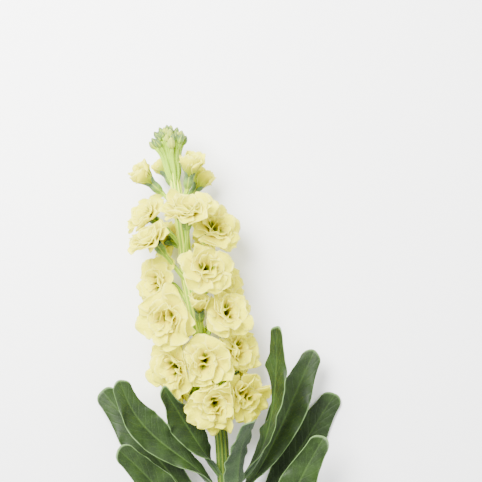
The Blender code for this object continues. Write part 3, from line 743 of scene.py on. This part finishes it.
def cup_rings(bloom):
    """A calyx cup of four sepals: up its outside, over its pointed tips and down its inside."""
    turn = around(CUP_SIDES)
    sepal = np.abs(np.sin(2 * turn)) ** SEPAL_POWER
    seam = bell(np.sin(2 * turn), CUP_SEAM)
    share = np.linspace(0, 1, CUP_ROWS)
    outer = through(CUP_PROFILE, share)[:, None] * (1 + SEPAL_SWELL * (sepal - 0.5)) - CUP_SEAM_DEPTH * seam
    heights = -CALYX_LENGTH * (1 - share)[:, None] + 0 * turn
    tip_share = np.linspace(0, 1, TIP_ROWS + 1)[1:]
    tips = tip_share[:, None] * sepal**TIP_POWER
    spread, rise = SEPAL_TIPS[bloom.stage]
    tip_radii = outer[-1] + tips * spread
    inner_heights = np.outer((0.8, 0, -0.5), tips[-1] * rise) - np.array([[0], [0], [CUP_DEPTH]])
    inner_radii = [tip_radii[-1] - 0.25, outer[-1] - 0.5, outer[-1] - 0.6]
    rows = np.concatenate([heights, tips * rise, inner_heights])
    radii = np.concatenate([outer, tip_radii, inner_radii])
    along = np.concatenate([0.8 * share, 0.8 + 0.2 * tip_share, [0.9, 0.7, 0.5]])
    return turned_about(*cup_mouth(bloom), rows, radii, turn), places_of(along[:, None], seam, 0)


def bud_rings(number):
    """A closed bud, its four sepals meeting in a point."""
    middle, axis, length, radius, _, _ = bud_place(number)
    turn = around(BUD_SIDES)
    seam = bell(np.sin(2 * turn), BUD_SEAM)
    share = np.linspace(0, 1, BUD_ROWS)[:, None]
    profile = np.sin(math.pi * np.clip(share, *BUD_ENDS) ** BUD_FOOT_POWER) ** BUD_BELLY_POWER
    radii = radius * profile * (1 - BUD_SEAM_DEPTH * seam)
    tone = random.Random(f"bud-{number}").uniform(*BUD_TONES)
    rings = turned_about(middle, axis, (share - 0.5) * length, radii, turn)
    return rings, places_of(share, seam, tone)


def hairs_on(rings, count, length, draw):
    """Roots and tips of hairs that stand on rings of points."""
    rows, sides = rings.shape[:2]
    row = draw.integers(1, rows - 1, count)
    side = draw.integers(0, sides, count)
    slip = draw.random(count)[:, None]
    roots = rings[row, side] * (1 - slip) + rings[row, (side + 1) % sides] * slip
    out = unit(roots - rings[row].mean(axis=1))
    lean = unit(draw.normal(size=(count, 3)))
    reach = length * draw.uniform(HAIR_SHORTEST, 1.0, count)[:, None]
    tips = roots + unit(out + HAIR_LEAN * lean) * reach
    tips[:, 2] = np.maximum(tips[:, 2], RESTING)
    roots = roots - out * HAIR_RADIUS
    clear = roots[:, 2] > 3 * RESTING
    return roots[clear], tips[clear]


# Leaves
def leaf_sheet(leaf, look):
    """A leaf's upper side: its points and, for its colours, each point's share and place across."""
    draw = random.Random(f"leaf-{leaf.height}")
    wave_phase, *phases = (draw.uniform(0, 2 * math.pi) for _ in range(4))
    along, _, _ = stem_frame(leaf.height)
    root = outward(leaf.height, leaf.azimuth) * (LEAF_SUNK * through(STEM_RADIUS, leaf.height))
    bends = ((0, leaf.base), (LEAF_MIDDLE, leaf.middle), (1, leaf.tip))

    def grown(name, share):
        return ease(*LEAF_SPANS[name], share)

    def away(share):
        return outward(leaf.height, leaf.azimuth + leaf.sweep * share)

    def heading(share):
        return towards(along, away(share), np.radians(through(bends, share)))

    def facing(share):
        turned = (leaf.turn * grown("turn", share))[:, None]
        return unit(along - away(share)) * (1 - turned) + UP * turned

    def half_width(share):
        spread = grown("spread", share) * (1 - LEAF_POINT * grown("point", share))
        return leaf.width * (LEAF_ROOT + (1 - LEAF_ROOT) * spread)

    def relief(share, across):
        fold = LEAF_FOLD * leaf.width * np.abs(across) * grown("fold", share) * (1 - FOLD_LOSS * share)
        side = np.where(across > 0, OTHER_SIDE, 0)
        wave = np.sin(2 * math.pi * LEAF_WAVES * share + wave_phase + side) * across**2
        lift = fold + LEAF_WAVE * leaf.width * wave * grown("wave", share)
        ripple = np.sin(LEAF_RIPPLES[0] * share + 2 * side + phases[0])
        ripple = ripple + SECOND_RIPPLE * np.sin(LEAF_RIPPLES[1] * share - side + phases[1])
        rippled = np.abs(across) ** 3 * grown("ripple", share) * (1 - grown("still end", share))
        lift = lift + look.ripple / MM * ripple * rippled
        groove = GROOVE_DEPTH * bell(across, GROOVE_WIDTH) * (1 - GROOVE_LOSS * share)
        slip = LEAF_SLIP * np.sin(LEAF_SLIPS * across + phases[2])
        return lift + look.thickness / MM / 2 - groove, slip

    start = stem_point(leaf.height) + root
    form = heading, facing, half_width, relief
    points, share, across = sheet_points(start, leaf.length, form, LEAF_ROUNDING, LEAF_ROWS, LEAF_COLUMNS)
    clear = leaf_bent_clear(points, leaf)
    points = points + (clear - points) * grown("moving", share)[..., None]
    return points, places_of(share, across, 0)


def leaf_bent_clear(points, leaf):
    """A leaf's points, eased off the blooms' flattened rooms and the surface below."""
    for bloom in BLOOMS:
        heart, axis, _, _ = bloom_frame(bloom)
        middle = heart + axis * BLOOM_ROOM_MIDDLE
        apart = points - middle
        along = dot(apart, axis)
        distance = np.hypot(BLOOM_FLATNESS * along, length_of(apart - axis * along))
        least = BLOOM_ROOM * bloom.size + LEAF_SOFTNESS
        moved = middle + apart * kept_above(distance, least, LEAF_SOFTNESS) / distance
        points = np.where(distance < BLOOM_ROOM_WITHIN * least, moved, points)
    away = length_of(points - stem_point(height_of(points)))[..., 0]
    floor = LEAF_ROOT_FLOOR + (leaf.floor - LEAF_ROOT_FLOOR) * ease(*LEAF_FLOOR_REACHED, away)
    points[..., 2] = kept_above(points[..., 2], floor, LEAF_SOFTNESS)
    return points


def leaf_fullness(places, look):
    """A blade's thickness at each point, as a share of the midrib's at its root."""
    share, across, _ = places.reshape(-1, 3).T
    least = look.thickness / look.midrib
    ridge = bell(across, MIDRIB_WIDTH) * (1 - share) ** MIDRIB_TAPER
    thinned = RIM_THINNING * least * ease(*LEAF_SPANS["thin rim"], np.abs(across))
    return least + (1 - least) * ridge - thinned


# Meshes
class Shape:
    """Collects grids and rings of points into one mesh, with a `place` at each point for its colours."""

    def __init__(self):
        self.points, self.places, self.faces, self.count = [], [], [], 0

    def add(self, points, places, faces):
        self.points.append(points.reshape(-1, 3))
        self.places.append(places.reshape(-1, 3))
        self.faces += [tuple(corner + self.count for corner in face) for face in faces]
        self.count += points.size // 3

    def grid(self, points, places):
        rows, columns = points.shape[:2]
        at = np.arange(rows * columns).reshape(rows, columns)
        quads = np.stack([at[:-1, :-1], at[:-1, 1:], at[1:, 1:], at[1:, :-1]], axis=-1)
        self.add(points, places, quads.reshape(-1, 4).tolist())

    def rings(self, points, places):
        rows, sides = points.shape[:2]
        at = np.arange(rows * sides).reshape(rows, sides)
        after = np.roll(at, -1, axis=1)
        quads = np.stack([at[:-1], after[:-1], after[1:], at[1:]], axis=-1).reshape(-1, 4).tolist()
        self.add(points, places, quads + [at[0][::-1].tolist(), at[-1].tolist()])

    def spikes(self, roots, tips, radius):
        """A thin three-sided spike from each root to its tip."""
        along = unit(tips - roots)
        first = unit(np.cross(along, HAIR_ASIDE))
        second = np.cross(along, first)
        corners = [roots + radius * towards(first, second, turn) for turn in around(3)]
        points = np.stack([*corners, tips], axis=1)
        at = np.arange(len(roots))[:, None] * 4
        faces = np.stack([at + f for f in ((0, 1, 3), (1, 2, 3), (2, 0, 3), (0, 2, 1))], axis=1)
        self.add(points, np.zeros(points.shape), faces.reshape(-1, 3).tolist())

    def piece(self, name, slot, materials, nodes):
        mesh = bpy.data.meshes.new(name)
        mesh.from_pydata(np.concatenate(self.points) * MM, [], self.faces)
        place = mesh.attributes.new("place", "FLOAT_VECTOR", "POINT")
        place.data.foreach_set("vector", np.concatenate(self.places).astype(np.float32).ravel())
        mesh.shade_smooth()
        for finish in materials:
            mesh.materials.append(finish)
        made = bpy.data.objects.new(name, mesh)
        bpy.context.scene.collection.objects.link(made)
        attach(made, ROOT)
        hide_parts(*nodes)
        return made


def growth_piece(name, finish, parts):
    """A piece of the stem's own growth, from the rings and places of its parts."""
    shape = Shape()
    for rings, places in parts:
        shape.rings(rings, places)
    shape.piece(name, "stalk", [finish], ["stem"])


def thickened(piece, thickness, offset, second=0):
    """Gives a sheet its thickness, with its other side in the second material."""
    shell = piece.modifiers.new("Thickness", "SOLIDIFY")
    shell.thickness = thickness
    shell.offset = offset
    shell.material_offset = second
    return shell


# Materials
NOISE_ROUGHNESS = 0.55
PETAL_VEINS, LEAF_VEINS = 34.0, 30.0
LEAF_THROUGH = 0.12


class Wire:
    """An output of a node, on which sums add Math nodes."""

    def __init__(self, graph, socket):
        self.graph = graph
        self.socket = socket

    def maths(self, operation, *others):
        values = dict(enumerate((self, *others)))
        return self.graph.node("ShaderNodeMath", {"operation": operation}, values)

    __add__ = __radd__ = partialmethod(maths, "ADD")
    __mul__ = __rmul__ = partialmethod(maths, "MULTIPLY")
    __sub__ = partialmethod(maths, "SUBTRACT")
    __pow__ = partialmethod(maths, "POWER")
    __abs__ = partialmethod(maths, "ABSOLUTE")
    sine = partialmethod(maths, "SINE")
    largest = partialmethod(maths, "MAXIMUM")

    def __rsub__(self, other):
        return self.graph.node("ShaderNodeMath", {"operation": "SUBTRACT"}, {0: other, 1: self})

    def eased(self, low, high):
        """0 below low and 1 above high, smoothly."""
        return self.graph.node(
            "ShaderNodeMapRange",
            {"interpolation_type": "SMOOTHSTEP"},
            {"Value": self, "From Min": low, "From Max": high},
        )


class Graph:
    """A material's nodes."""

    def __init__(self, name):
        self.material = bpy.data.materials.new(name)
        self.material.use_nodes = True
        self.tree = self.material.node_tree
        self.tree.nodes.clear()

    def node(self, kind, settings=None, values=None, output=0):
        """Adds a node of this kind with its settings, then its sockets' values or links."""
        made = self.tree.nodes.new(kind)
        for name, value in (settings or {}).items():
            setattr(made, name, value)
        for name, value in (values or {}).items():
            if isinstance(value, Wire):
                self.tree.links.new(value.socket, made.inputs[name])
            else:
                made.inputs[name].default_value = value
        return Wire(self, made.outputs[output]) if made.outputs else None

    def place(self):
        """The three numbers that each point of a piece holds for its colours."""
        vector = self.node("ShaderNodeAttribute", {"attribute_name": "place"}, output="Vector")
        return [self.node("ShaderNodeSeparateXYZ", None, {0: vector}, output=i) for i in range(3)]

    def mix(self, factor, first, second):
        """Blends two colours, each a wire or three numbers."""
        first, second = (c if isinstance(c, Wire) else (*c, 1.0) for c in (first, second))
        return self.node("ShaderNodeMix", {"data_type": "RGBA"}, {0: factor, 6: first, 7: second}, output=2)

    def layered(self, body, *layers):
        """Lays colours over a body's in turn, each as (factor, colour)."""
        for factor, colour in layers:
            body = self.mix(factor, body, colour)
        return body

    def noise(self, scale, detail=3.0):
        """Smooth noise in the piece's own space, scale in features a metre."""
        where = self.node("ShaderNodeTexCoord", output="Object")
        values = {"Vector": where, "Scale": scale, "Detail": detail, "Roughness": NOISE_ROUGHNESS}
        return self.node("ShaderNodeTexNoise", None, values)

    def bump(self, height, distance, strength):
        values = {"Height": height, "Distance": distance, "Strength": strength}
        return self.node("ShaderNodeBump", None, values)

    def surface(self, colour, roughness, normal=None, through=0.0, specular=0.5, sheen=0.0, fuzz=0.5):
        """Ends the material in a Principled shader. `through` is the share of light let through."""
        values = {"Base Color": colour, "Roughness": roughness, "Specular IOR Level": specular}
        values.update({"Sheen Weight": sheen, "Sheen Roughness": fuzz})
        if normal is not None:
            values["Normal"] = normal
        shader = self.node("ShaderNodeBsdfPrincipled", None, values)
        if through:
            glow = self.node("ShaderNodeBsdfTranslucent", None, {"Color": colour})
            shader = self.node("ShaderNodeMixShader", None, {0: through, 1: shader, 2: glow})
        self.node("ShaderNodeOutputMaterial", None, {"Surface": shader})
        return self.material


def petal_finish(look):
    graph = Graph("petal")
    share, across, tone = graph.place()
    grain = graph.noise(160.0)
    fibres = graph.noise(700.0, 2.0)
    reach = share - tone * 0.2
    lime = tone.eased(0.3, 0.9) * (1 - (share - tone * 0.25).eased(0.1, 0.6))
    edge = (abs(across) ** 3.0).largest(share.eased(0.72, 1.02))
    rim = (edge * 0.85 + grain * 0.25).eased(0.5, 1.0)
    veins = ((across * PETAL_VEINS + grain * 7.0).sine() * 0.5 + 0.5) ** 3.0
    # Painted shade: the gold at low share, and the heart colour where the share is lowered in the tufts'
    # pits, darken the throat and the pits; at the root the heart green is the petal's own
    body = graph.layered(
        look.heart,
        (reach.eased(0.0, 0.3), look.gold_shade_and_veins),
        ((reach + grain * 0.3).eased(0.25, 0.85), look.butter),
        (lime * 0.9 + tone * 0.08, look.lime),
        (rim * 0.85, look.cream),
        (veins * share.eased(0.05, 0.3) * 0.10, look.gold_shade_and_veins),
    )
    normal = graph.bump(veins * 0.5 + fibres * 0.35 + grain * 0.6, 0.00025, 0.8)
    return graph.surface(body, 0.52, normal, look.see_through, specular=0.2, sheen=0.04, fuzz=0.4)


def leaf_finish(look, under):
    graph = Graph("leaf_underside" if under else "leaf")
    share, across, _ = graph.place()
    mottle = graph.noise(90.0, 4.0)
    felt = graph.noise(1600.0, 2.0)
    off_middle = abs(across)
    midrib = 1 - (off_middle + share * 0.02).eased(0.02, 0.10)
    branch = ((share * LEAF_VEINS - off_middle * 5.0 + mottle * 1.2) * math.pi).sine()
    veins = (branch * 0.5 + 0.5) ** 14.0 * (1 - off_middle.eased(0.7, 1.0)) * share.eased(0.15, 0.3)
    rim = off_middle.eased(0.93, 0.99).largest(share.eased(0.985, 1.0))
    # Partly painted shade: the leaf colours are set darker than a leaf's own greens
    body = graph.layered(
        look.under_dark if under else look.upper_dark,
        (mottle.eased(0.3, 0.7), look.under_light if under else look.upper_light),
        (veins * 0.06, look.vein),
        (midrib * 0.55 * (1 - share * 0.7), look.vein),
        (rim * 0.9, look.rim),
        ((1 - share.eased(0.0, 0.16)) * 0.7, look.vein),
        (felt.eased(0.5, 0.75) * (0.30 if under else 0.14), look.felt),
    )
    height = felt * 0.25 + mottle * 1.2 + veins * (0.7 if under else -0.4)
    roughness, sheen = (0.62, 0.12) if under else (0.5, 0.03)
    normal = graph.bump(height, 0.0004, 0.7)
    return graph.surface(body, roughness, normal, LEAF_THROUGH, specular=0.22, sheen=sheen)


def stalk_finish(look):
    graph = Graph("stalk")
    share, crest, pith = graph.place()
    streaks = graph.noise(300.0)
    felt = graph.noise(1500.0, 2.0)
    among = share.eased(0.6, 0.82)
    # Painted shade: the stalk below the blooms is set darker than its own pale green, for the shade among
    # the leaves
    body = graph.layered(
        look.shaded_low_green,
        (among, look.high_green),
        ((crest + streaks * 0.3).eased(0.45, 0.95) * (among * 0.72 + 0.08), look.rib),
        (felt.eased(0.52, 0.75) * 0.07, look.felt),
        (pith.eased(0.2, 0.8), look.pith),
    )
    normal = graph.bump(felt * 0.3 + streaks * 0.5, 0.0003, 0.7)
    return graph.surface(body, 0.5, normal, specular=0.25, sheen=0.05)


def cup_finish(look):
    graph = Graph("cup")
    share, seam, tone = graph.place()
    felt = graph.noise(2600.0, 2.0)
    patches = graph.noise(250.0)
    body = graph.layered(
        look.high_green,
        (share.eased(0.05, 0.85), look.cup),
        (patches.eased(0.35, 0.7) * 0.6, look.cup_dark),
        (tone.eased(0.25, 0.6) * 0.45, look.tip),
        (seam * 0.4, look.rib),
        (felt.eased(0.5, 0.7) * 0.25, look.felt),
        ((share + tone * 0.2 - 0.1).eased(0.9, 1.0) * 0.8, look.tip),
    )
    normal = graph.bump(felt * 0.8 - seam * 0.6, 0.0003, 0.8)
    return graph.surface(body, 0.7, normal, specular=0.2, sheen=0.12)


def felt_finish(look):
    graph = Graph("felt")
    body = graph.mix(graph.noise(400.0), look.felt, look.rib)
    return graph.surface(body, 0.8, through=0.3)


def floor_finish(look):
    graph = Graph("floor")
    pale = look.floor_colour
    body = graph.mix(graph.noise(40.0, 2.0) * 0.3, pale, [c * 0.97 for c in pale])
    return graph.surface(body, 0.9, specular=0.1)


# Settings
def setting(name, description, default, kind=bpy.props.FloatProperty, **more):
    return kind(name=name, description=description, default=default, **more)


def length_setting(name, description, millimetres):
    return setting(name, description, millimetres * MM, min=0.0, unit="LENGTH", precision=5)


def colour_setting(name, description, *screen):
    """A colour whose default is given as on a screen, from 0 to 255."""

    def linear(value):
        return ((value + 0.055) / 1.055) ** 2.4 if value > 0.04 else value / 12.92

    default = tuple(linear(value / 255) for value in screen)
    kind = bpy.props.FloatVectorProperty
    return setting(name, description, default, kind, subtype="COLOR", min=0.0, max=1.0)


class StockPetalSettings(bpy.types.PropertyGroup):
    """Form and colours of the petals"""

    thickness: length_setting("Thickness", "Thickness of a petal", 0.3)
    ruffle_depth: length_setting("Ruffle depth", "Depth of the ruffles at a petal's rim", 1.5)
    ruffle_count: setting("Ruffles", "How many ruffles run round a petal's rim", 3.4, min=1.0)
    see_through: setting(
        "Light let through",
        "Share of light that a petal lets through",
        0.55,
        min=0.0,
        max=1.0,
        subtype="FACTOR",
    )
    # The heart colour is partly a petal's own green root and partly painted shade, where the tufts' pits
    # take it
    heart: colour_setting("Heart", "Colour at a petal's root", 136, 148, 8)
    lime: colour_setting("Lime", "Colour low on the inner petals", 190, 208, 10)
    # Painted shade: the gold deepens a petal's throat for light passed between petals, and it also tints
    # the veins
    gold_shade_and_veins: colour_setting("Gold", "Colour in a petal's throat and folds", 238, 222, 8)
    butter: colour_setting("Butter", "Colour over most of a petal", 250, 248, 14)
    cream: colour_setting("Cream", "Colour at a petal's rim", 254, 253, 126)


class StockLeafSettings(bpy.types.PropertyGroup):
    """Form and colours of the leaves"""

    thickness: length_setting("Thickness", "Thickness of a blade beside its midrib", 0.7)
    midrib: length_setting("Midrib", "Thickness through the midrib at its root", 2.6)
    ripple: length_setting("Ripple", "Depth of the ripples along the rim", 0.7)
    # Partly painted shade: these colours are a leaf's own dark greens set darker still, for the shade that
    # leaves lie in
    upper_dark: colour_setting("Dark green", "Darker green of the upper side", 23, 38, 9)
    upper_light: colour_setting("Light green", "Lighter green of the upper side", 37, 57, 17)
    under_dark: colour_setting("Dark underside", "Darker green of the underside", 42, 62, 33)
    under_light: colour_setting("Light underside", "Lighter green of the underside", 60, 82, 46)
    vein: colour_setting("Veins", "Colour of the midrib and veins", 78, 108, 46)
    rim: colour_setting("Rim", "Colour of the thin rim", 104, 134, 78)
    felt: colour_setting("Felt", "Colour of the fine felt", 96, 120, 84)


class StockStalkSettings(bpy.types.PropertyGroup):
    """Form and colours of the stalk, flower stalks, cups, buds and felt"""

    ribs: setting("Ribs", "Ribs round the stalk", 9, bpy.props.IntProperty, min=3)
    rib_depth: length_setting("Rib depth", "Depth of the stalk's ribs", 0.38)
    hair_length: length_setting("Hair length", "Length of the felt's hairs", 0.7)
    hairs: setting("Hairs", "Hairs in the felt", 9000, bpy.props.IntProperty, min=0)
    # Painted shade: the low green is darker than the stalk's own pale green, for the shade among the leaves
    shaded_low_green: colour_setting("Low green", "Green of the stalk below the blooms", 52, 78, 24)
    high_green: colour_setting("High green", "Green of the stalk among the blooms", 136, 176, 6)
    rib: colour_setting("Rib", "Colour of ribs and seams", 222, 234, 36)
    felt: colour_setting("Felt", "Colour of the hairs", 156, 176, 120)
    pith: colour_setting("Pith", "Colour of the cut end", 222, 230, 182)
    cup: colour_setting("Cup", "Grey green of cups and buds", 76, 103, 54)
    cup_dark: colour_setting("Dark cup", "Darker green of cups and buds", 38, 62, 28)
    tip: colour_setting("Tips", "Colour of the buds' tips", 206, 216, 50)


class StockStageSettings(bpy.types.PropertyGroup):
    """Camera, lights and floor"""

    view_width: length_setting("View width", "Width that the camera takes in", 306.0)
    camera_distance: length_setting("Camera distance", "From the camera to the flower", 720.0)
    roll: setting("Roll", "Lean of the stem in the view", math.radians(-8.7), subtype="ANGLE")
    key_power: setting("Key light", "Power of the large light", 40.0, min=0.0, unit="POWER")
    sky: setting("Sky", "Strength of the light from all round", 1.1, min=0.0)
    floor_colour: colour_setting("Floor", "Colour of the floor", 248, 248, 247)


# Operators
class OBJECT_OT_stock_blooms(bpy.types.Operator):
    """Grow the ruffled petals of every bloom"""

    bl_idname = "object.stock_blooms"
    bl_label = "Blooms"
    bl_options = {"REGISTER", "UNDO"}

    def execute(self, context):
        look = context.scene.stock_petals
        finish = petal_finish(look)
        for number, bloom in enumerate(BLOOMS, 1):
            walls, rods = cell_walls(bloom), rods_near(bloom)
            shape = Shape()
            for ring in RINGS[bloom.stage]:
                for which in range(ring.count):
                    shape.grid(*petal(bloom, ring, which, walls, rods, look))
            node = f"bloom_{number:02d}"
            piece = shape.piece(f"{node}_petals", "petal", [finish], [node])
            thickened(piece, look.thickness, 0)
        return {"FINISHED"}


class OBJECT_OT_stock_leaves(bpy.types.Operator):
    """Grow the leaves with their midribs, veins and rippled rims"""

    bl_idname = "object.stock_leaves"
    bl_label = "Leaves"
    bl_options = {"REGISTER", "UNDO"}

    def execute(self, context):
        look = context.scene.stock_leaves
        finishes = [leaf_finish(look, False), leaf_finish(look, True)]
        for number, leaf in enumerate(LEAVES, 1):
            shape = Shape()
            points, places = leaf_sheet(leaf, look)
            shape.grid(points, places)
            node = f"leaf_{number:02d}"
            piece = shape.piece(f"{node}_blade", "leaf", finishes, [node])
            full = piece.vertex_groups.new(name="full")
            for index, share in enumerate(leaf_fullness(places, look)):
                full.add([index], float(share), "REPLACE")
            thickened(piece, look.midrib, -1, 1).vertex_group = full.name
        return {"FINISHED"}


class OBJECT_OT_stock_stalk(bpy.types.Operator):
    """Turn the ribbed stalk and the flower stalks that leave it"""

    bl_idname = "object.stock_stalk"
    bl_label = "Stalk"
    bl_options = {"REGISTER", "UNDO"}

    def execute(self, context):
        look = context.scene.stock_stalk
        finish = stalk_finish(look)
        growth_piece("stalk", finish, [stalk_rings(look)])
        growth_piece("flower_stalks", finish, small_stalks())
        return {"FINISHED"}


class OBJECT_OT_stock_cups(bpy.types.Operator):
    """Turn the calyx cups under the blooms and the closed buds at the tip"""

    bl_idname = "object.stock_cups"
    bl_label = "Cups and Buds"
    bl_options = {"REGISTER", "UNDO"}

    def execute(self, context):
        finish = cup_finish(context.scene.stock_stalk)
        growth_piece("calyx_cups", finish, map(cup_rings, BLOOMS))
        growth_piece("closed_buds", finish, map(bud_rings, range(BUD_COUNT)))
        return {"FINISHED"}


class OBJECT_OT_stock_felt(bpy.types.Operator):
    """Set the short hairs on the stalk, cups and buds"""

    bl_idname = "object.stock_felt"
    bl_label = "Felt"
    bl_options = {"REGISTER", "UNDO"}

    def execute(self, context):
        look = context.scene.stock_stalk
        draw = np.random.default_rng(FELT_SEED)
        on_stalk, on_small, on_cups, on_buds = HAIR_SHARES
        sources = [(stalk_rings(look)[0], on_stalk)]
        sources += [(rings, on_small / len(BLOOMS)) for rings, _ in small_stalks()]
        sources += [(cup_rings(bloom)[0][:FELTED_ROWS], on_cups / len(BLOOMS)) for bloom in BLOOMS]
        sources += [(bud_rings(number)[0], on_buds / BUD_COUNT) for number in range(BUD_COUNT)]
        shape = Shape()
        for rings, share in sources:
            roots, tips = hairs_on(rings, round(share * look.hairs), look.hair_length / MM, draw)
            shape.spikes(roots, tips, HAIR_RADIUS)
        shape.piece("felt", "stalk", [felt_finish(look)], ["stem"])
        return {"FINISHED"}


class OBJECT_OT_stock_stage(bpy.types.Operator):
    """Set the pale floor, the soft lights and the camera"""

    bl_idname = "object.stock_stage"
    bl_label = "Stage"
    bl_options = {"REGISTER", "UNDO"}

    def execute(self, context):
        look = context.scene.stock_stage
        target = Vector(VIEW_TARGET) * MM
        bpy.ops.mesh.primitive_plane_add(size=FLOOR_SIZE, location=(0, 0, 0))
        floor = context.object
        floor.name = "floor"
        floor.data.materials.append(floor_finish(look))

        world = bpy.data.worlds.new("soft_sky")
        world.use_nodes = True
        sky = world.node_tree.nodes["Background"].inputs
        sky["Color"].default_value = (1, 1, 1, 1)
        sky["Strength"].default_value = look.sky
        context.scene.world = world
        for name, place, size, share in LAMPS:
            lamp = bpy.data.lights.new(name, "AREA")
            lamp.size = size
            lamp.energy = look.key_power * share
            held = bpy.data.objects.new(name, lamp)
            held.location = target + Vector(place)
            held.rotation_euler = (-Vector(place)).to_track_quat("-Z", "Y").to_euler()
            context.scene.collection.objects.link(held)

        lens = bpy.data.cameras.new("camera")
        lens.lens = lens.sensor_width * look.camera_distance / look.view_width
        camera = bpy.data.objects.new("camera", lens)
        camera.location = target + Vector((0, 0, look.camera_distance))
        camera.rotation_euler = (0, 0, look.roll)
        context.scene.collection.objects.link(camera)
        context.scene.camera = camera
        return {"FINISHED"}


# Panel and registration
OPERATORS = (
    OBJECT_OT_stock_stage,
    OBJECT_OT_stock_blooms,
    OBJECT_OT_stock_leaves,
    OBJECT_OT_stock_stalk,
    OBJECT_OT_stock_cups,
    OBJECT_OT_stock_felt,
)
SETTINGS = {
    "stock_petals": StockPetalSettings,
    "stock_leaves": StockLeafSettings,
    "stock_stalk": StockStalkSettings,
    "stock_stage": StockStageSettings,
}


class VIEW3D_PT_stock(bpy.types.Panel):
    """Lists the flower's pieces"""

    bl_idname = "VIEW3D_PT_stock"
    bl_label = "Stock Flower Stem"
    bl_space_type = "VIEW_3D"
    bl_region_type = "UI"
    bl_category = "Stock"

    def draw(self, context):
        for operator in OPERATORS:
            self.layout.operator(operator.bl_idname)
        for name, settings in SETTINGS.items():
            box = self.layout.box()
            for key in settings.__annotations__:
                box.prop(getattr(context.scene, name), key)


def register():
    for kind in (*SETTINGS.values(), *OPERATORS, VIEW3D_PT_stock):
        bpy.utils.register_class(kind)
    for name, settings in SETTINGS.items():
        setattr(bpy.types.Scene, name, bpy.props.PointerProperty(type=settings))


def unregister():
    for name in SETTINGS:
        delattr(bpy.types.Scene, name)
    for kind in reversed((*SETTINGS.values(), *OPERATORS, VIEW3D_PT_stock)):
        bpy.utils.unregister_class(kind)


def main():
    register()
    bpy.ops.object.stock_stage()
    bpy.ops.object.stock_blooms()
    bpy.ops.object.stock_leaves()
    bpy.ops.object.stock_stalk()
    bpy.ops.object.stock_cups()
    bpy.ops.object.stock_felt()


if __name__ == "__main__":
    main()
